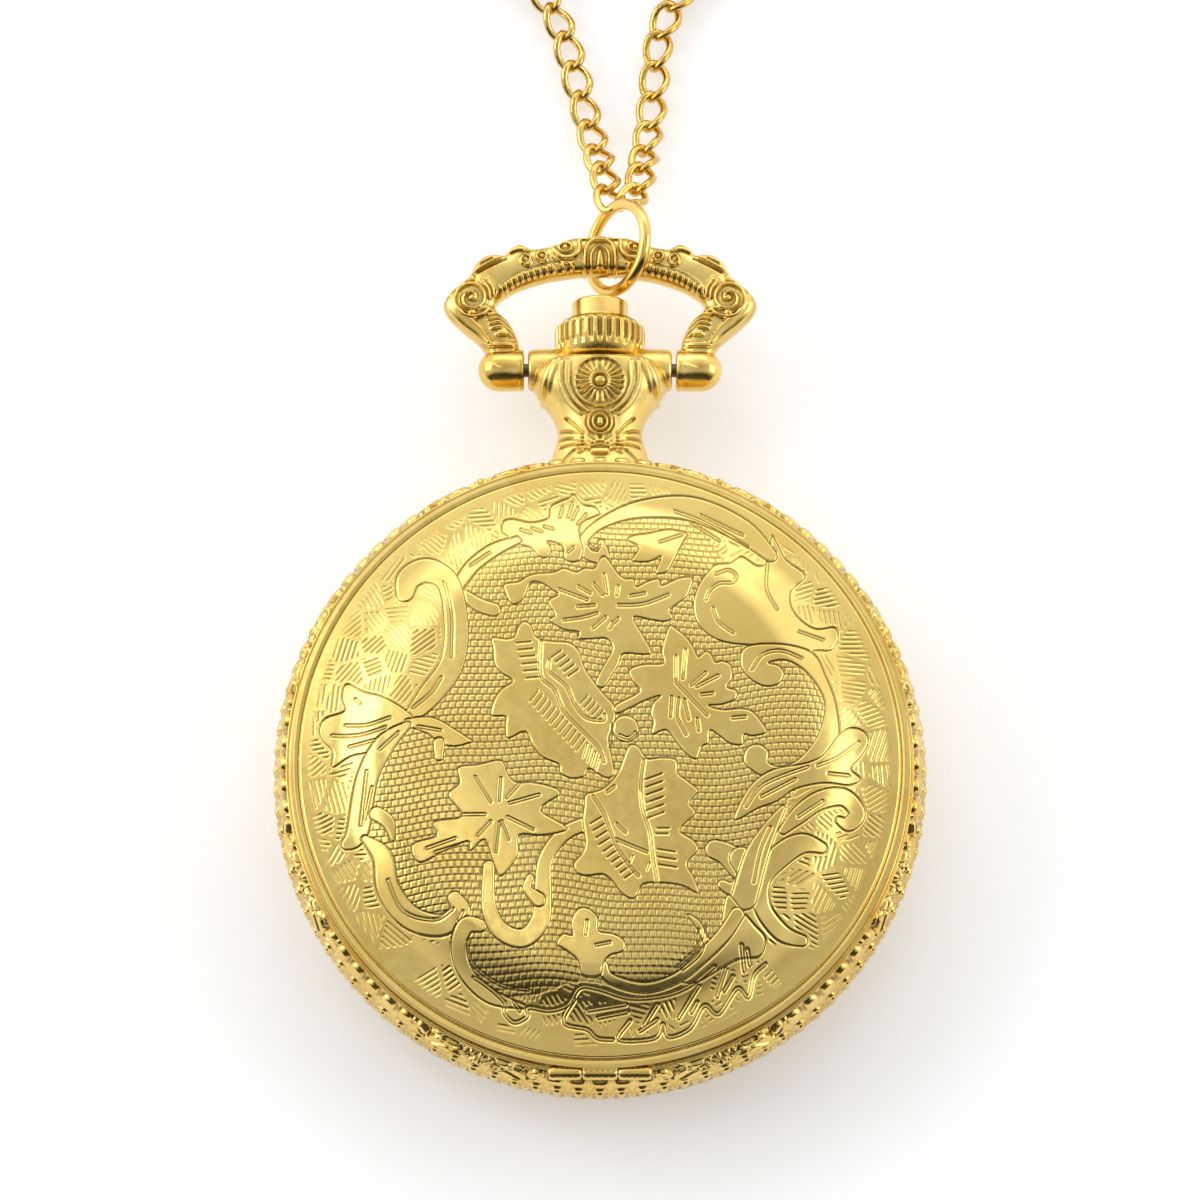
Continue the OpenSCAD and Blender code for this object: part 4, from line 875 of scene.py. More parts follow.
def pendant_relief():
    """Heights on the neck's face: a rosette, its frame, a small ring, and a fan at the foot."""
    cast = Relief((-6, 21.5), (6, 33), 0.04, 1.5, 0.16)
    ridge = cast.ridge
    rose = (0, 29.1)
    ridge([oval(*rose, 1.9, 1.9)], 0.08, 0.16)
    petals = [[(rose[0] + q * math.cos(a), rose[1] + q * math.sin(a)) for q in (0.85, 1.6)] for a in around(22)]
    ridge(petals, 0.09, 0.15, 0.12)
    ridge([oval(*rose, 0.66, 0.66)], 0.1, 0.18)
    ridge([dot(*rose)], 0.36, 0.26, 0.3)
    ridge(pair([-2.35,30.7, -2.35,29, -1.8,27.7, -0.9,26.8]), [0.16, 0.17, 0.17, 0.1], 0.16)
    ridge(pair([-2.85,30.7, -2.8,29, -2.25,27.6, -1.4,26.6]), [0.14, 0.16, 0.16, 0.1], 0.14)
    ridge(pair([-3.3,30.9, -3.9,29.6, -4.3,28]), [0.1, 0.2, 0.12], 0.14)
    ridge(pair([-3,31, -3.5,29.8, -3.8,28.4]), [0.1, 0.14, 0.08], 0.1)
    ridge([oval(0, 25.9, 0.85, 0.95), oval(0, 25.95, 0.52, 0.62)], 0.08, 0.18)
    ridge([[0,25.8, 0,26.05]], 0.2, 0.22)
    ridge(pair([-1.1,26.4, -1.15,25.6, -0.8,24.9]), [0.08, 0.12, 0.08], 0.14)
    ridge(pair([-0.8,24.2, 0,24.45, 0.001,24.45]), 0.07, 0.12)
    ridge([[-0.45,23.5, 0.45,23.5]], 0.22, 0.2)
    ridge([[-0.75,23.9, 0,24.1, 0.75,23.9]], 0.07, 0.12)
    for a in np.radians(range(20, 161, 20)):
        c, s = math.cos(a), math.sin(a)
        ridge([[(0.95 * c, 23.45 + 0.95 * s), (1.5 * c, 23.45 + 1.35 * s)]], [0.12, 0.05], 0.16)
    for k in range(5):
        ridge(pair([(-1.25 - 0.05 * k, 23.6 + 0.3 * k), (-1.6 - 0.1 * k, 23.4 + 0.42 * k)]), 0.08, 0.12)
    for end_y, start_y, end_x in ((26.3, 25, -2.5), (25.5, 24.7, -2.9), (24.8, 24.4, -3), (24.1, 24.1, -2.9)):
        flute = [(-1.3, start_y), ((-1.3 + end_x) / 2, (start_y + end_y) / 2 + 0.1), (end_x, end_y)]
        cast.trench(pair(flute), 0.03, 0.208, FLUTE_W)
    cast.trench(pair([-1.9,23.7, -3.4,22.3]), 0.02, 0.156, FLUTE_W)
    return cast


def build_pendant():
    """The neck, its relief on the front and the back, with the crown's seat in its top."""
    cast = pendant_relief()
    y = np.arange(NECK_Y, SEAT_Y + 0.01, 0.045)
    dense = smooth_curve(NECK, 8)
    a, b = (np.interp(y, dense[:, 0], dense[:, i]) for i in (1, 2))
    t = around(420)
    cx, cz = squared(np.cos(t), 0.86), squared(np.sin(t), 0.86)
    x, z = a[:, None] * cx, b[:, None] * cz
    flat = np.ones(len(t))
    rows_y = y[:, None] * flat
    lift = cast.lift(x, rows_y) * np.clip(np.abs(cz) / 0.35, 0, 1) * np.clip((SEAT_Y - rows_y) / 0.2, 0, 1)
    scale = 1 + lift / np.hypot(x, z)
    x, z = x * scale, z * scale
    # painted shade in the hollows of the neck's relief
    deep = 0.75 * cast.recess_shade(x, rows_y, 0.28, 0.12) * np.clip((np.abs(cz) - 0.2) / 0.3, 0, 1)
    thick = np.sin(t) ** 2
    rows = [np.stack([r * np.cos(t), h - dip * thick, r * np.sin(t)], 1) for r, h, dip in (
        (3.25, SEAT_Y, 0.5), (3.15, SEAT_Y - 0.1, 0.5), (3.15, 30.3, 0), (2.1, 30.3, 0), (2.1, 26, 0))]
    foot = np.stack([a[0] * 0.9 * cx, (y[0] - 0.4) * flat, b[0] * 0.9 * cz], 1)
    shell = np.stack([x, NECK_Y + (rows_y - NECK_Y) * (1 - 0.055 * thick), z], 2)
    points = np.concatenate([foot[None], shell, np.array(rows)])
    faces = grid_faces(len(points), len(t), wrap=True, flip=True)
    obj = add_mesh("pendant_relief", points.reshape(-1, 3) + np.array([0, 0, MID_Z]), faces, MAT["pendant"])
    paint_recess_shade(obj, np.vstack([np.zeros(len(t)), deep, np.zeros((len(rows), len(t)))]))
    return obj


attach(build_pendant(), "case", "gold_pendant", "pendant")
for side, label in SIDES:
    boss = np.array([(1.35, 2.6), (1.62, 3.4), (1.6, 4.5), (1.56, 5.08), (1.48, 5.25), (1.35, 5.32), (0.56, 5.32),
                     (0.52, 5.2), (0.52, 4.6)]) * (1, side)
    boss = revolved("pendant_boss_" + label, boss, 64, MAT["pendant"], "x", (0, PIVOT_Y, MID_Z))
    attach(boss, "case", "gold_pendant")


# ---------- crown ----------

CROWN_R = 3.35
CROWN_FOOT = 31.05
FLUTES = 30
CROWN_STEPS = 480


def crown_radius(r, h, angle):
    """The knurled ring over the plain cone under it, whichever is the smaller."""
    tooth = np.clip(0.5 + 1.6 * np.cos(FLUTES * angle), 0, 1)
    cut = r - 0.26 * (1 - tooth) * np.clip((34 - h) / 0.1, 0, 1)
    cone = 2.3 + 1.05 * np.sqrt(np.clip((h - CROWN_FOOT) / 1.6, 0, 4))
    ring = np.where((h > 31.6) & (h < 34.1), cut, r)
    return np.where(h < 33.3, np.minimum(ring, cone), ring)


crown_line = [(0.01, CROWN_FOOT), (2.1, CROWN_FOOT), (2.5, 31.08)] + [
    (CROWN_R, h) for h in np.linspace(31.12, 33.65, 44)
] + [
    (CROWN_R - 0.03, 33.8), (CROWN_R - 0.1, 33.91), (CROWN_R - 0.22, 33.99), (CROWN_R - 0.4, 34.09),
    (2.9, 34.25), (2.5, 34.37), (2.24, 34.43), (2.13, 34.5), (2.1, 34.62), (2.1, 35.78), (2.07, 35.88),
    (1.98, 35.95), (1.84, 36.0), (1.6, 36.02), (0.8, 36.03), (0.01, 36.04)
]
crown = revolved("crown_fluted", crown_line, CROWN_STEPS, MAT["crown"], "y", (0, 0, MID_Z), crown_radius)
crown_h = np.array(crown_line)[:, 1:]
# painted shade in the gaps between the flutes of the knurled ring
flute_shade = np.clip(0.35 - 1.6 * np.cos(FLUTES * around(CROWN_STEPS)), 0, 0.7)
paint_recess_shade(crown, flute_shade * ((crown_h > 32.4) & (crown_h < 33.9)))
attach(crown, "crown", "gold_crown", "crown")


# ---------- bow ----------

BOW_THICK = 1.3
BOW_SIDE = np.array([
    # outer x, y, inner x, y, from the ball at the pivot to the top of the arch
    (8.3, 31.6, 6.1, 31.4), (8.7, 32.2, 6, 32.2), (9.3, 32.8, 6.15, 32.9), (10.4, 33.5, 6.7, 33.75),
    (11.3, 34.2, 7.5, 34.5), (11.7, 35.1, 7.75, 35), (11.35, 35.9, 7.55, 35.45), (10.55, 36.7, 7.1, 35.85),
    (9.75, 37.5, 6.6, 36.15), (9.3, 38.3, 6.1, 36.4), (8.4, 38.9, 5.6, 36.6), (7.2, 39, 5.1, 36.8),
    (6.7, 39.4, 4.6, 36.95), (6.1, 39.65, 4.1, 37.1), (5.4, 39.4, 3.7, 37.2), (4.3, 39.5, 3.1, 37.3),
    (3.3, 39.75, 2.5, 37.4), (2.2, 40.15, 1.8, 37.5), (1.1, 40.25, 1, 37.55), (0, 40.35, 0, 37.55)
])
BOW_WIDE = {4: 1.32, 5: 1.35, 6: 1.35, 7: 1.35}


def bow_relief():
    """Heights on the face of the bow's right half."""
    cast = Relief((-1, 31), (12.5, 41), 0.035, 1.5, 0.14)
    ridge = cast.ridge
    spiral = []
    for t in np.linspace(0, 1, 40):
        a = math.radians(-150 + 760 * t)
        q = 1.45 * (1 - t) ** 0.85 + 0.1
        spiral.append((9.55 + q * math.cos(a), 35.45 + q * math.sin(a)))
    ridge([spiral], 0.11, 0.24)
    ridge([dot(9.55, 35.45)], 0.2, 0.26)
    ridge([[10.7,36, 11.1,35, 10.3,34, 9.1,33.1, 8.3,32.5]], [0.1, 0.36, 0.42, 0.4, 0.2], 0.2, 0.2)
    for p in ((11.25, 35.75), (10.85, 36.3), (10.25, 36.75), (9.6, 37.1)):
        ridge([dot(*p)], 0.24, 0.24, 0.2)
    ridge([[9.3,37.75, 8.6,38.35, 7.5,38.65]], [0.2, 0.4, 0.12], 0.22)
    ridge([[6.75,39.1, 6.1,39.35, 5.3,39.1]], [0.2, 0.26, 0.12], 0.22)
    ridge([[8.8,36.9, 8.3,36.2, 8.2,35.5], [8.4,37.1, 7.95,36.3, 7.9,35.7]], 0.09, 0.16)
    for p in ((5.55, 38.4), (4.35, 38.65)):
        ridge([oval(*p, 0.36, 0.36, 17)], 0.08, 0.22)
        ridge([dot(*p)], 0.13, 0.22)
    ridge([oval(2.6, 39.3, 0.48, 0.36, 17)], 0.09, 0.24)
    ridge([dot(2.6, 39.3)], 0.17, 0.26)
    ridge([[3.6,39.3, 3,38.65, 2.2,38.55, 1.6,39.1, 1.55,39.8]], [0.1, 0.17, 0.17, 0.14, 0.1], 0.2)
    ridge([[3.5,38.6, 2.9,38.25, 2,38.2]], 0.08, 0.14)
    edge = smooth_curve([(7.3, 36.1), (6.5, 36.75), (5.6, 37.2), (4.6, 37.5), (3.5, 37.75), (2.1, 37.95)], 40)
    for p in edge[::18]:
        ridge([[(p[0] - 0.05, p[1] - 0.18), (p[0] + 0.05, p[1] + 0.18)]], 0.12, 0.2)
    ridge([[1.15,37.6, 1.08,39.2, 0.6,39.75, 0,39.85, -0.6,39.75, -1,39.2]], 0.1, 0.24)
    ridge([[0.65,37.6, 0.62,38.9, 0,39.4, -0.62,38.9]], 0.08, 0.2)
    ridge([[0,38, 0,38.9]], [0.26, 0.16], 0.22, 0.25)
    ridge([[-1,40.05, 1.4,39.95]], 0.1, 0.14)
    for q in (0, 0.3, 0.6, 0.9):
        ridge([[8.3 - 0.35 * q, 34.2 - q, 7.6 - 0.3 * q, 34.3 - q, 6.7 - 0.1 * q, 33.75 - q]], 0.09, 0.18)
    ridge([[7.5,33, 7,33.05]], 0.18, 0.2)
    ridge([[8.2,32.3, 6.2,32.3]], 0.16, 0.16)
    ridge([[9,34.6, 8.4,34.75, 8,34.5]], 0.12, 0.18)
    ridge([[9.5,34.35, 9.6,34.3]], 0.16, 0.18)
    cast.trench([[9.1,37.6, 8.2,38, 7,38.5], [8.9,38.1, 8,38.5]], 0.02, 0.16, 0.12)
    cast.trench([edge + np.array([0.1, 0.42])], 0.01, 0.07, 0.12)
    return cast


def build_bow():
    """The bow: squarish sections between its outer and inner lines, with the relief on both faces."""
    cast = bow_relief()
    thick = [BOW_WIDE.get(k, BOW_THICK) for k in range(len(BOW_SIDE))]
    right = np.column_stack([BOW_SIDE, thick])
    left = right[:-1] * np.array([-1, 1, -1, 1, 1])
    line = smooth_curve(np.vstack([left, right[::-1]]), 22)
    t = around(140)
    across, up = squared(np.cos(t), 0.8), squared(np.sin(t), 0.72)
    x, y = ((line[:, i] + line[:, i + 2])[:, None] / 2 + (line[:, i] - line[:, i + 2])[:, None] / 2 * across
            for i in (0, 1))
    spots = np.abs(x), y
    # painted shade in the hollows of the bow's relief
    deep = cast.recess_shade(*spots, 0.25, 0.11) * np.clip((np.abs(up) - 0.2) / 0.3, 0, 1)
    lift = cast.lift(*spots) * np.clip((np.abs(up) - 0.15) / 0.4, 0, 1)
    z = line[:, 4][:, None] * up * 0.86 + lift * np.sign(up)
    y = y + 0.55 * ease((y - 31.8) / 2.6) + 0.3 * np.clip((y - 37.5) / 2.8, 0, 1)
    points = np.stack([x, y, z + MID_Z], 2)
    count, n = len(points), len(t)
    points = np.vstack([points.reshape(-1, 3), points[0].mean(0), points[-1].mean(0)])
    faces = grid_faces(count, n, wrap=True).tolist()
    last = (count - 1) * n
    for k in range(n):
        after = (k + 1) % n
        faces += [(count * n, after, k), (count * n + 1, last + k, last + after)]
    obj = add_mesh("bow_scrolled", points, faces, MAT["bow"])
    paint_recess_shade(obj, np.concatenate([0.5 * deep.ravel(), [0, 0]]))
    return obj


BALL_R = 1.57
attach(build_bow(), "bow", "gold_bow", "bow")
for side, label in SIDES:
    ball = [(0.55, 7.0), (0.55, 5.7), (0.6, 5.65), (1.42, 5.65), (1.5, 5.68), (BALL_R, 5.76), (BALL_R, 6.02),
            (1.53, 6.08), (BALL_R, 6.14), (BALL_R, 7.3)]
    ball += [(BALL_R * math.cos(a), 7.5 + BALL_R * math.sin(a)) for a in np.linspace(0, math.pi / 2 - 0.01, 14)]
    ball = np.array(ball) * (1, side)
    knuckle = revolved("bow_knuckle_" + label, ball, 72, MAT["bow"], "x", (0, PIVOT_Y, MID_Z))
    attach(knuckle, "bow", "gold_bow")


# ---------- jump ring ----------

def build_ring():
    """A ring of round wire, turned about the upright through its middle."""
    steps, rim = 144, 36
    u, v = around(steps)[:, None], around(rim)
    reach = (RING_R + RING_WIRE / 2 * np.cos(v)) * np.ones((steps, 1))
    depth = np.sin(v) * RING_WIRE / 2 * np.ones((steps, 1))
    wide = reach * np.cos(u)
    c, s = math.cos(RING_TURN), math.sin(RING_TURN)
    points = np.stack([wide * c - depth * s, reach * np.sin(u), wide * s + depth * c], 2).reshape(-1, 3)
    faces = grid_faces(steps, rim, wrap=True, closed=True)
    return add_mesh("jump_ring_wire", points + RING_C, faces, MAT["polished"])


attach(build_ring(), "jump_ring", "gold_polished", "jump_ring")


# ---------- back cover ----------

def turned(points, angle, flip=1):
    """Points turned about the middle, mirrored first when flip is -1."""
    c, s = math.cos(angle), math.sin(angle)
    return [(c * x - s * y * flip, s * x + c * y * flip) for x, y in np.reshape(points, (-1, 2))]


def engrave_back(step):
    """A rosette in the middle, a wreath of scrolls and leaves round it, and strokes towards the edge."""
    art = Engraving(step)
    art.ground |= (art.r > 9.7) & (art.r < 16.2)
    for ring in (8.9, 9.6, 16.3, 19.9):
        art.engrave(art.r - ring, 0.12, 0.1)
    rays = around(16)
    for a in rays:
        art.outline(turned([3.2, 0, 4.6, 0.95, 6.3, 1.05, 7.9, 0, 6.3, -1.05, 4.6, -0.95], a))
    for a in rays + TURN / 32:
        art.outline(turned([1.4, 0, 2.4, 0.55, 3.9, 0.6, 5.2, 0, 3.9, -0.6, 2.4, -0.55], a))
    art.scroll(dot(0, 0), 1.5)
    art.lines([turned([5.4, 0, 7.2, 0], a) for a in rays] + [turned([2, 0, 3.8, 0], a + TURN / 32) for a in rays])
    art.scratch([oval(0, 0, q, q) for q in (0.5, 1.0)])
    veins = []
    for a in around(8):
        for flip in (-1, 1):
            curl = [10.4, 0.5, 10.6, 2, 11.8, 3.4, 13.6, 3.6, 14.6, 2.4, 13.8, 1.3, 12.8, 1.7]
            art.scroll(turned(curl, a, flip), [0.2, 0.4, 0.5, 0.55, 0.5, 0.4, 0.3])
            art.scroll(turned([14.2, 3.3, 15.6, 3.4, 17.2, 4.6, 18.2, 4.2], a, flip), [0.2, 0.5, 0.5, 0.1])
        art.outline(turned([12.6, 0, 13.8, 0.9, 14.4, 2, 15.4, 1.4, 16.8, 1.9, 17.2, 0.9, 18.9, 0, 17.2, -0.9,
                            16.8, -1.9, 15.4, -1.4, 14.4, -2, 13.8, -0.9], a))
        for vein in ([13.2, 0, 18.2, 0], [14.6, 0.2, 15.9, 1.3], [14.6, -0.2, 15.9, -1.3]):
            veins.append(turned(vein, a))
        a += math.pi / 8
        bud = [10.2, 0, 11.2, 0.9, 12.2, 0.6, 13.2, 1.1, 13.6, 0, 13.2, -1.1, 12.2, -0.6, 11.2, -0.9]
        art.outline(turned(bud, a))
        veins.append(turned([10.8, 0, 13, 0], a))
    art.lines(veins)
    for k, a in enumerate(rays + TURN / 32):
        fan = [turned([17.2 + 0.12 * j * j, 0.5 * j, 19.3, 0.55 * j], a) for j in range(-2, 3)]
        if k % 2:
            fan = [turned([16.9, 0.45 * j, 18.6 + 0.3 * (j % 2), 0.5 * j], a + 0.02) for j in range(-2, 3)]
        taken = art.taken.astype(np.float32)
        art.scratch([s for s in fan if art.sample(taken, *np.array(s).T).max() < 0.3], 0.12, 0.09)
    return art.finish()


back_art = engrave_back(BACK_CELL)
back_face = cover_disc("cover_back_face", detail(320, 460), BACK_Z, BACK_FLAT, BACK_Z, -1, back_art)
ring_in = BORE_R - COVER_T
back_hollow = cover_hollow(np.linspace(0, ring_in, 22), BACK_Z, -1, BACK_Z - COVER_T)
back_inside = revolved("cover_back_inside", back_hollow + [
    (ring_in, BACK_Z + 1.45), (ring_in + 0.1, BACK_Z + 1.55), (BORE_R - 0.12, BACK_Z + 1.55),
    (BORE_R, BACK_Z + 1.4), (BORE_R, BACK_Z), (LIP_R - 0.6, BACK_Z), (LIP_R, BACK_Z - 0.05),
    (LIP_R, BACK_Z - 0.345)
], 192, MAT["inside"])
attach(back_face, "case", "gold_cover", "back_cover")
attach(back_inside, "case", "gold_cover")


# ---------- the lid's lug and hinge web ----------

def block(name, low, high):
    """A block with rounded edges."""
    low, high = np.array(low, float), np.array(high, float)
    mesh = bmesh.new()
    bmesh.ops.create_cube(mesh, size=1)
    for v in mesh.verts:
        v.co = Vector(((low + high) / 2 + np.array(v.co) * (high - low)).tolist())
    bmesh.ops.bevel(mesh, geom=mesh.edges[:], offset=0.06, segments=3, affect="EDGES", profile=0.5)
    faces = [[v.index for v in f.verts] for f in mesh.faces]
    obj = add_mesh(name, [v.co[:] for v in mesh.verts], faces, MAT["inside"])
    mesh.free()
    return obj


for name, low, high in (
        ("lid_lug", (-1.5, BORE_R - 0.4, LIP_Z - 0.5), (1.5, BORE_R - 0.05, LIP_Z + 0.5)),
        ("lid_lug_foot", (-1.5, BORE_R - 0.4, LIP_Z), (1.5, BORE_R + 0.6, LIP_Z + 0.35)),
        ("lid_hinge_web", (-1.2, HINGE_Y, HINGE_Z + 0.1), (1.2, HINGE_Y + 1.2, HINGE_Z + 0.53))):
    attach(block(name, low, high), "front_cover", "gold_cover")


# ---------- dial print ----------

NUMERAL_H = 2.2
STROKE_W = {"I": 0.62, "V": 1.5, "X": 1.5}
THICK, THIN = 0.30, 0.12


def bar(a, b, width):
    """The four corners of a straight stroke."""
    a, b = np.array(a, float), np.array(b, float)
    side = (b - a)[::-1] * np.array([-1, 1])
    side = side / np.linalg.norm(side) * width / 2
    return [a - side, b - side, b + side, a + side]


def roman(text):
    """Bars of a Roman numeral, centred, with serifs."""
    half = sum(STROKE_W[c] for c in text) / 2
    x = -half
    bars = []
    for c in text:
        w = STROKE_W[c]
        left, middle, right = x + 0.2, x + w / 2, x + w - 0.2
        if c == "I":
            bars.append(bar((middle, 0), (middle, NUMERAL_H), THICK))
        elif c == "V":
            bars += [bar((left, NUMERAL_H), (middle, 0), THICK), bar((middle, 0), (right, NUMERAL_H), THIN)]
        else:
            bars += [bar((left, NUMERAL_H), (right, 0), THICK), bar((left, 0), (right, NUMERAL_H), THIN)]
        x += w
    return bars + [bar((-half, q), (half, q), 0.1) for q in (0.02, NUMERAL_H - 0.02)]


def printed(name, bars, height):
    """Bars raised off the dial by the thickness of the print."""
    verts, faces = [], []
    for corners in bars:
        n = len(verts)
        verts += [(*p, DIAL_TOP + z) for z in (-0.01, height) for p in corners]
        faces += [(n + 3, n + 2, n + 1, n), (n + 4, n + 5, n + 6, n + 7)]
        faces += [(n + k, n + (k + 1) % 4, n + 4 + (k + 1) % 4, n + 4 + k) for k in range(4)]
    attach(add_mesh(name, verts, faces, MAT["ink"], smooth=False), "case", "dial")


numerals = []
for hour, text in enumerate(("XII", "I", "II", "III", "IIII", "V", "VI", "VII", "VIII", "IX", "X", "XI")):
    for corners in roman(text):
        numerals.append(turned([(px, py + 9.9) for px, py in corners], -math.radians(30 * hour)))
printed("dial_numerals", numerals, 0.02)
TRACK = (17.55, 18.25)
track = []
for minute in range(60):
    tick = bar((TRACK[0], 0), (TRACK[1], 0), 0.22 if minute % 5 == 0 else 0.09)
    track.append(turned(tick, math.radians(6 * minute)))
for radius in TRACK:
    ends = oval(0, 0, radius, radius, 121)
    track += [bar(p, q, 0.08) for p, q in zip(ends[:-1], ends[1:])]
printed("dial_minute_track", track, 0.015)


# ---------- better materials on the CAD parts that stay ----------

DRESS = {
    "inside": "bezel",
    "markers": "dial_markers",
    "brass": "pendant_tube push_sleeve centre_wheel second_wheel third_wheel fifth_wheel minute_wheel hour_wheel",
    "steel": "hinge_pin lid_spring lid_catch stem_collet stem battery battery_strap movement_screws stator rotor",
    "plate": "main_plate train_bridge",
    "pin": "bow_pins",
    "dial": "dial",
    "hands": "hour_hand minute_hand second_hand",
    "plastic": "movement_holder",
    "circuit": "circuit_board",
    "copper": "coil_winding",
    "gasket": "back_gasket",
    "crystal": "crystal",
}
for look, names in DRESS.items():
    for name in names.split():
        for place in frame["nodes"][name].material_slots:
            place.material = MAT[look]


# ---------- chain ----------

CHAIN_D = 2.5
CHAIN_Z = CHAIN_D / 2
COIL_X, COIL_Y = 0.0, 87.0
COIL_MID_R = 14.0
COIL_TURNS = 4
COIL_STEPS = 20
LINK_L = 3.6
LINK_W = 2.5
WIRE = 0.29
LINK_PITCH = LINK_L - 4 * WIRE + 0.12
LINK_STEPS = 22
LINK_RIM = 8
LINK_TWIST = math.radians(44)
left_route = [[0.6, 45.2, 5.3], [0.3, 47.5, 4], [-0.3, 50, 2.4], [-1, 53, 1.4]] + [
    [x, y, CHAIN_Z] for x, y in ((-2, 57), (-3.2, 61), (-6, 66), (-11, 71), (-16, 76))]
right_route = [[2.8, 45.4, 5.3], [3.2, 47.7, 4], [3.5, 50, 2.4], [3.9, 53, 1.4], [4.3, 57, CHAIN_Z],
               [5, 61, CHAIN_Z], [8, 66, 1.3], [12.5, 70.5, 2.2], [16.5, 75.5, 3.4]]


def coil_points():
    """Clockwise turns inwards on the surface, then outwards on top of them."""
    outer, inner = (COIL_MID_R + side * CHAIN_D * COIL_TURNS / 2 for side in (1, -1))
    start, end = math.radians(206), math.radians(-26)
    half = (2 * COIL_TURNS * TURN + (start - end) - TURN) / 2
    share = np.arange(1, COIL_TURNS * COIL_STEPS) / (COIL_TURNS * COIL_STEPS)
    points = []
    # each layer's height, first angle, first and last radius, and where along it the chain starts to climb
    for layer, first, near, far, climb in ((1, start, outer, inner, 0.93), (2, start - half, inner, outer, 0)):
        for t in share:
            a, r = first - half * t, near + (far - near) * t
            z = CHAIN_Z * (layer + np.clip((t - climb) / 0.07, 0, 1))
            points.append([COIL_X + r * math.cos(a), COIL_Y + r * math.sin(a), z])
    return points


chain_start, chain_end = ([RING_C[0] + x, RING_C[1] + RING_R + 0.1, MID_Z - 0.2] for x in (-0.3, 0.4))
chain_path = smooth_curve([chain_start] + left_route + coil_points() + right_route[::-1] + [chain_end], 6)
chain_length = arc_length(chain_path)[-1]


def unit(vectors):
    return vectors / np.linalg.norm(vectors, axis=-1, keepdims=True)


def link_points():
    """One curb link: an oval of round wire, its two ends twisted opposite ways about its length."""
    t = np.linspace(0, TURN, LINK_STEPS, endpoint=False)
    half_l, half_w = LINK_L / 2 - WIRE, LINK_W / 2 - WIRE
    x, y = half_l * squared(np.cos(t), 0.95), half_w * squared(np.sin(t), 0.95)
    a = LINK_TWIST * x / half_l
    line = np.stack([x, y * np.cos(a), y * np.sin(a)], 1)
    ahead = unit(np.roll(line, -1, axis=0) - np.roll(line, 1, axis=0))
    side = unit(np.cross(ahead, [0.0, 0.0, 1.0]))
    up = np.cross(side, ahead)
    b = np.linspace(0, TURN, LINK_RIM, endpoint=False)[None, :, None]
    return (line[:, None] + WIRE * (np.cos(b) * side[:, None] + np.sin(b) * up[:, None])).reshape(-1, 3)


def build_chain():
    """The links along the chain's path, each rolled a little to one side or the other."""
    shape = link_points()
    quads = grid_faces(LINK_STEPS, LINK_RIM, wrap=True, closed=True)
    along = arc_length(chain_path)
    count = int(round(chain_length / LINK_PITCH))

    def at(s):
        return np.array([np.interp(s, along, chain_path[:, c]) for c in range(3)])

    verts, faces = [], []
    for k in range(count):
        s = chain_length / count * (k + 0.5)
        ahead = unit(at(s + 0.8) - at(s - 0.8))
        side = unit(np.cross([0.0, 0.0, 1.0], ahead))
        up = np.cross(ahead, side)
        roll = math.radians(12 + 7 * math.sin(2.1 * k))
        c, d = math.cos(roll), math.sin(roll)
        verts.append(at(s) + shape @ np.stack([ahead, c * side + d * up, c * up - d * side]))
        faces.append(quads + k * len(shape))
    return add_mesh("chain_links", np.vstack(verts), np.vstack(faces), MAT["chain"])


chain = build_chain()
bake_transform(chain)
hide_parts("chain_left", "chain_right", "chain_coil")


# ---------- lights and floor ----------

LIGHT_AIM = Vector((0, 0.01, 0))
FLOOR_HALF = 1500


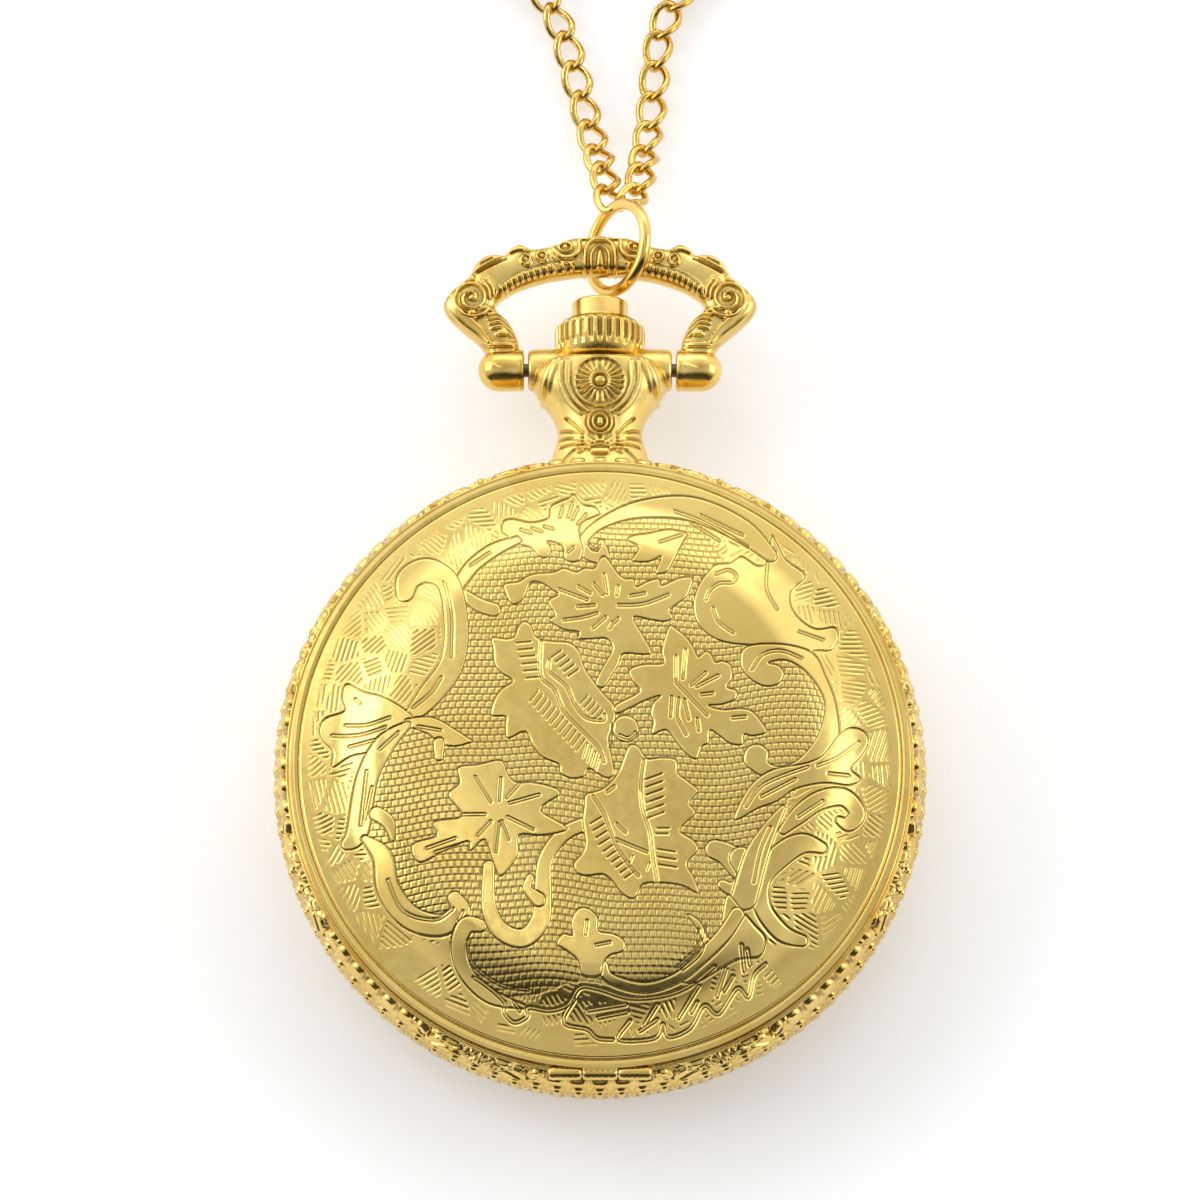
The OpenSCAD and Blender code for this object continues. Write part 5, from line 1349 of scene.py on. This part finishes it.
def add_light(name, at, size, power):
    """A soft rectangular light; its place and size are in metres."""
    data = bpy.data.lights.new(name, "AREA")
    data.shape = "RECTANGLE"
    data.size, data.size_y = size
    data.energy = power
    light = bpy.data.objects.new(name, data)
    bpy.context.scene.collection.objects.link(light)
    light.location = at
    light.rotation_euler = (LIGHT_AIM - Vector(at)).to_track_quat("-Z", "Y").to_euler()


paper, _, paper_shader = new_material("floor_paper", (0.93, 0.93, 0.93), 0.0, 0.7)
paper_shader.inputs["Emission Color"].default_value = grey(1)
paper_shader.inputs["Emission Strength"].default_value = 0.20
corners = [(x * FLOOR_HALF, y * FLOOR_HALF, 0) for x, y in ((-1, -1), (1, -1), (1, 1), (-1, 1))]
add_mesh("floor", corners, [(0, 1, 2, 3)], paper, smooth=False)

add_light("key", (-0.75, 0.20, 0.42), (0.6, 0.6), 2.7)
add_light("fill", (0.80, 0.05, 0.38), (0.5, 0.5), 1.8)
add_light("edge", (-0.26, 0.25, 0.88), (0.10, 0.7), 0.28)
add_light("top", (0.0, 0.72, 0.42), (0.8, 0.35), 1.2)

# the sky: grey bands from the foot (0) to the head (1) of the watch, stronger to the left and the right
SKY = [(0.0, 0.12), (0.18, 0.03), (0.23, 0.06), (0.28, 0.52), (0.37, 0.74), (0.50, 0.56), (0.60, 0.60),
       (0.70, 0.92), (0.80, 1.15), (1.0, 0.95)]
SKY_GAIN, SKY_SIDE, SKY_MOST = 0.88, 1.2, 1.15
world = bpy.data.worlds.new("studio")
bpy.context.scene.world = world
world.use_nodes = True
sky = world.node_tree


def math_node(operation, *sources):
    return add_node(sky, "Math", dict(enumerate(sources)), operation=operation).outputs[0]


split = add_node(sky, "SeparateXYZ", {0: add_node(sky, "TexCoord").outputs["Generated"]})
bands = ramp(sky, math_node("MULTIPLY_ADD", split.outputs["Y"], 0.5, 0.5), [(at, grey(v)) for at, v in SKY])
wide = math_node("POWER", split.outputs["X"], 2)
gain = math_node("MINIMUM", math_node("MULTIPLY_ADD", wide, SKY_SIDE, SKY_GAIN), SKY_MOST)
feed(sky, sky.nodes["Background"].inputs["Color"], bands)
feed(sky, sky.nodes["Background"].inputs["Strength"], gain)
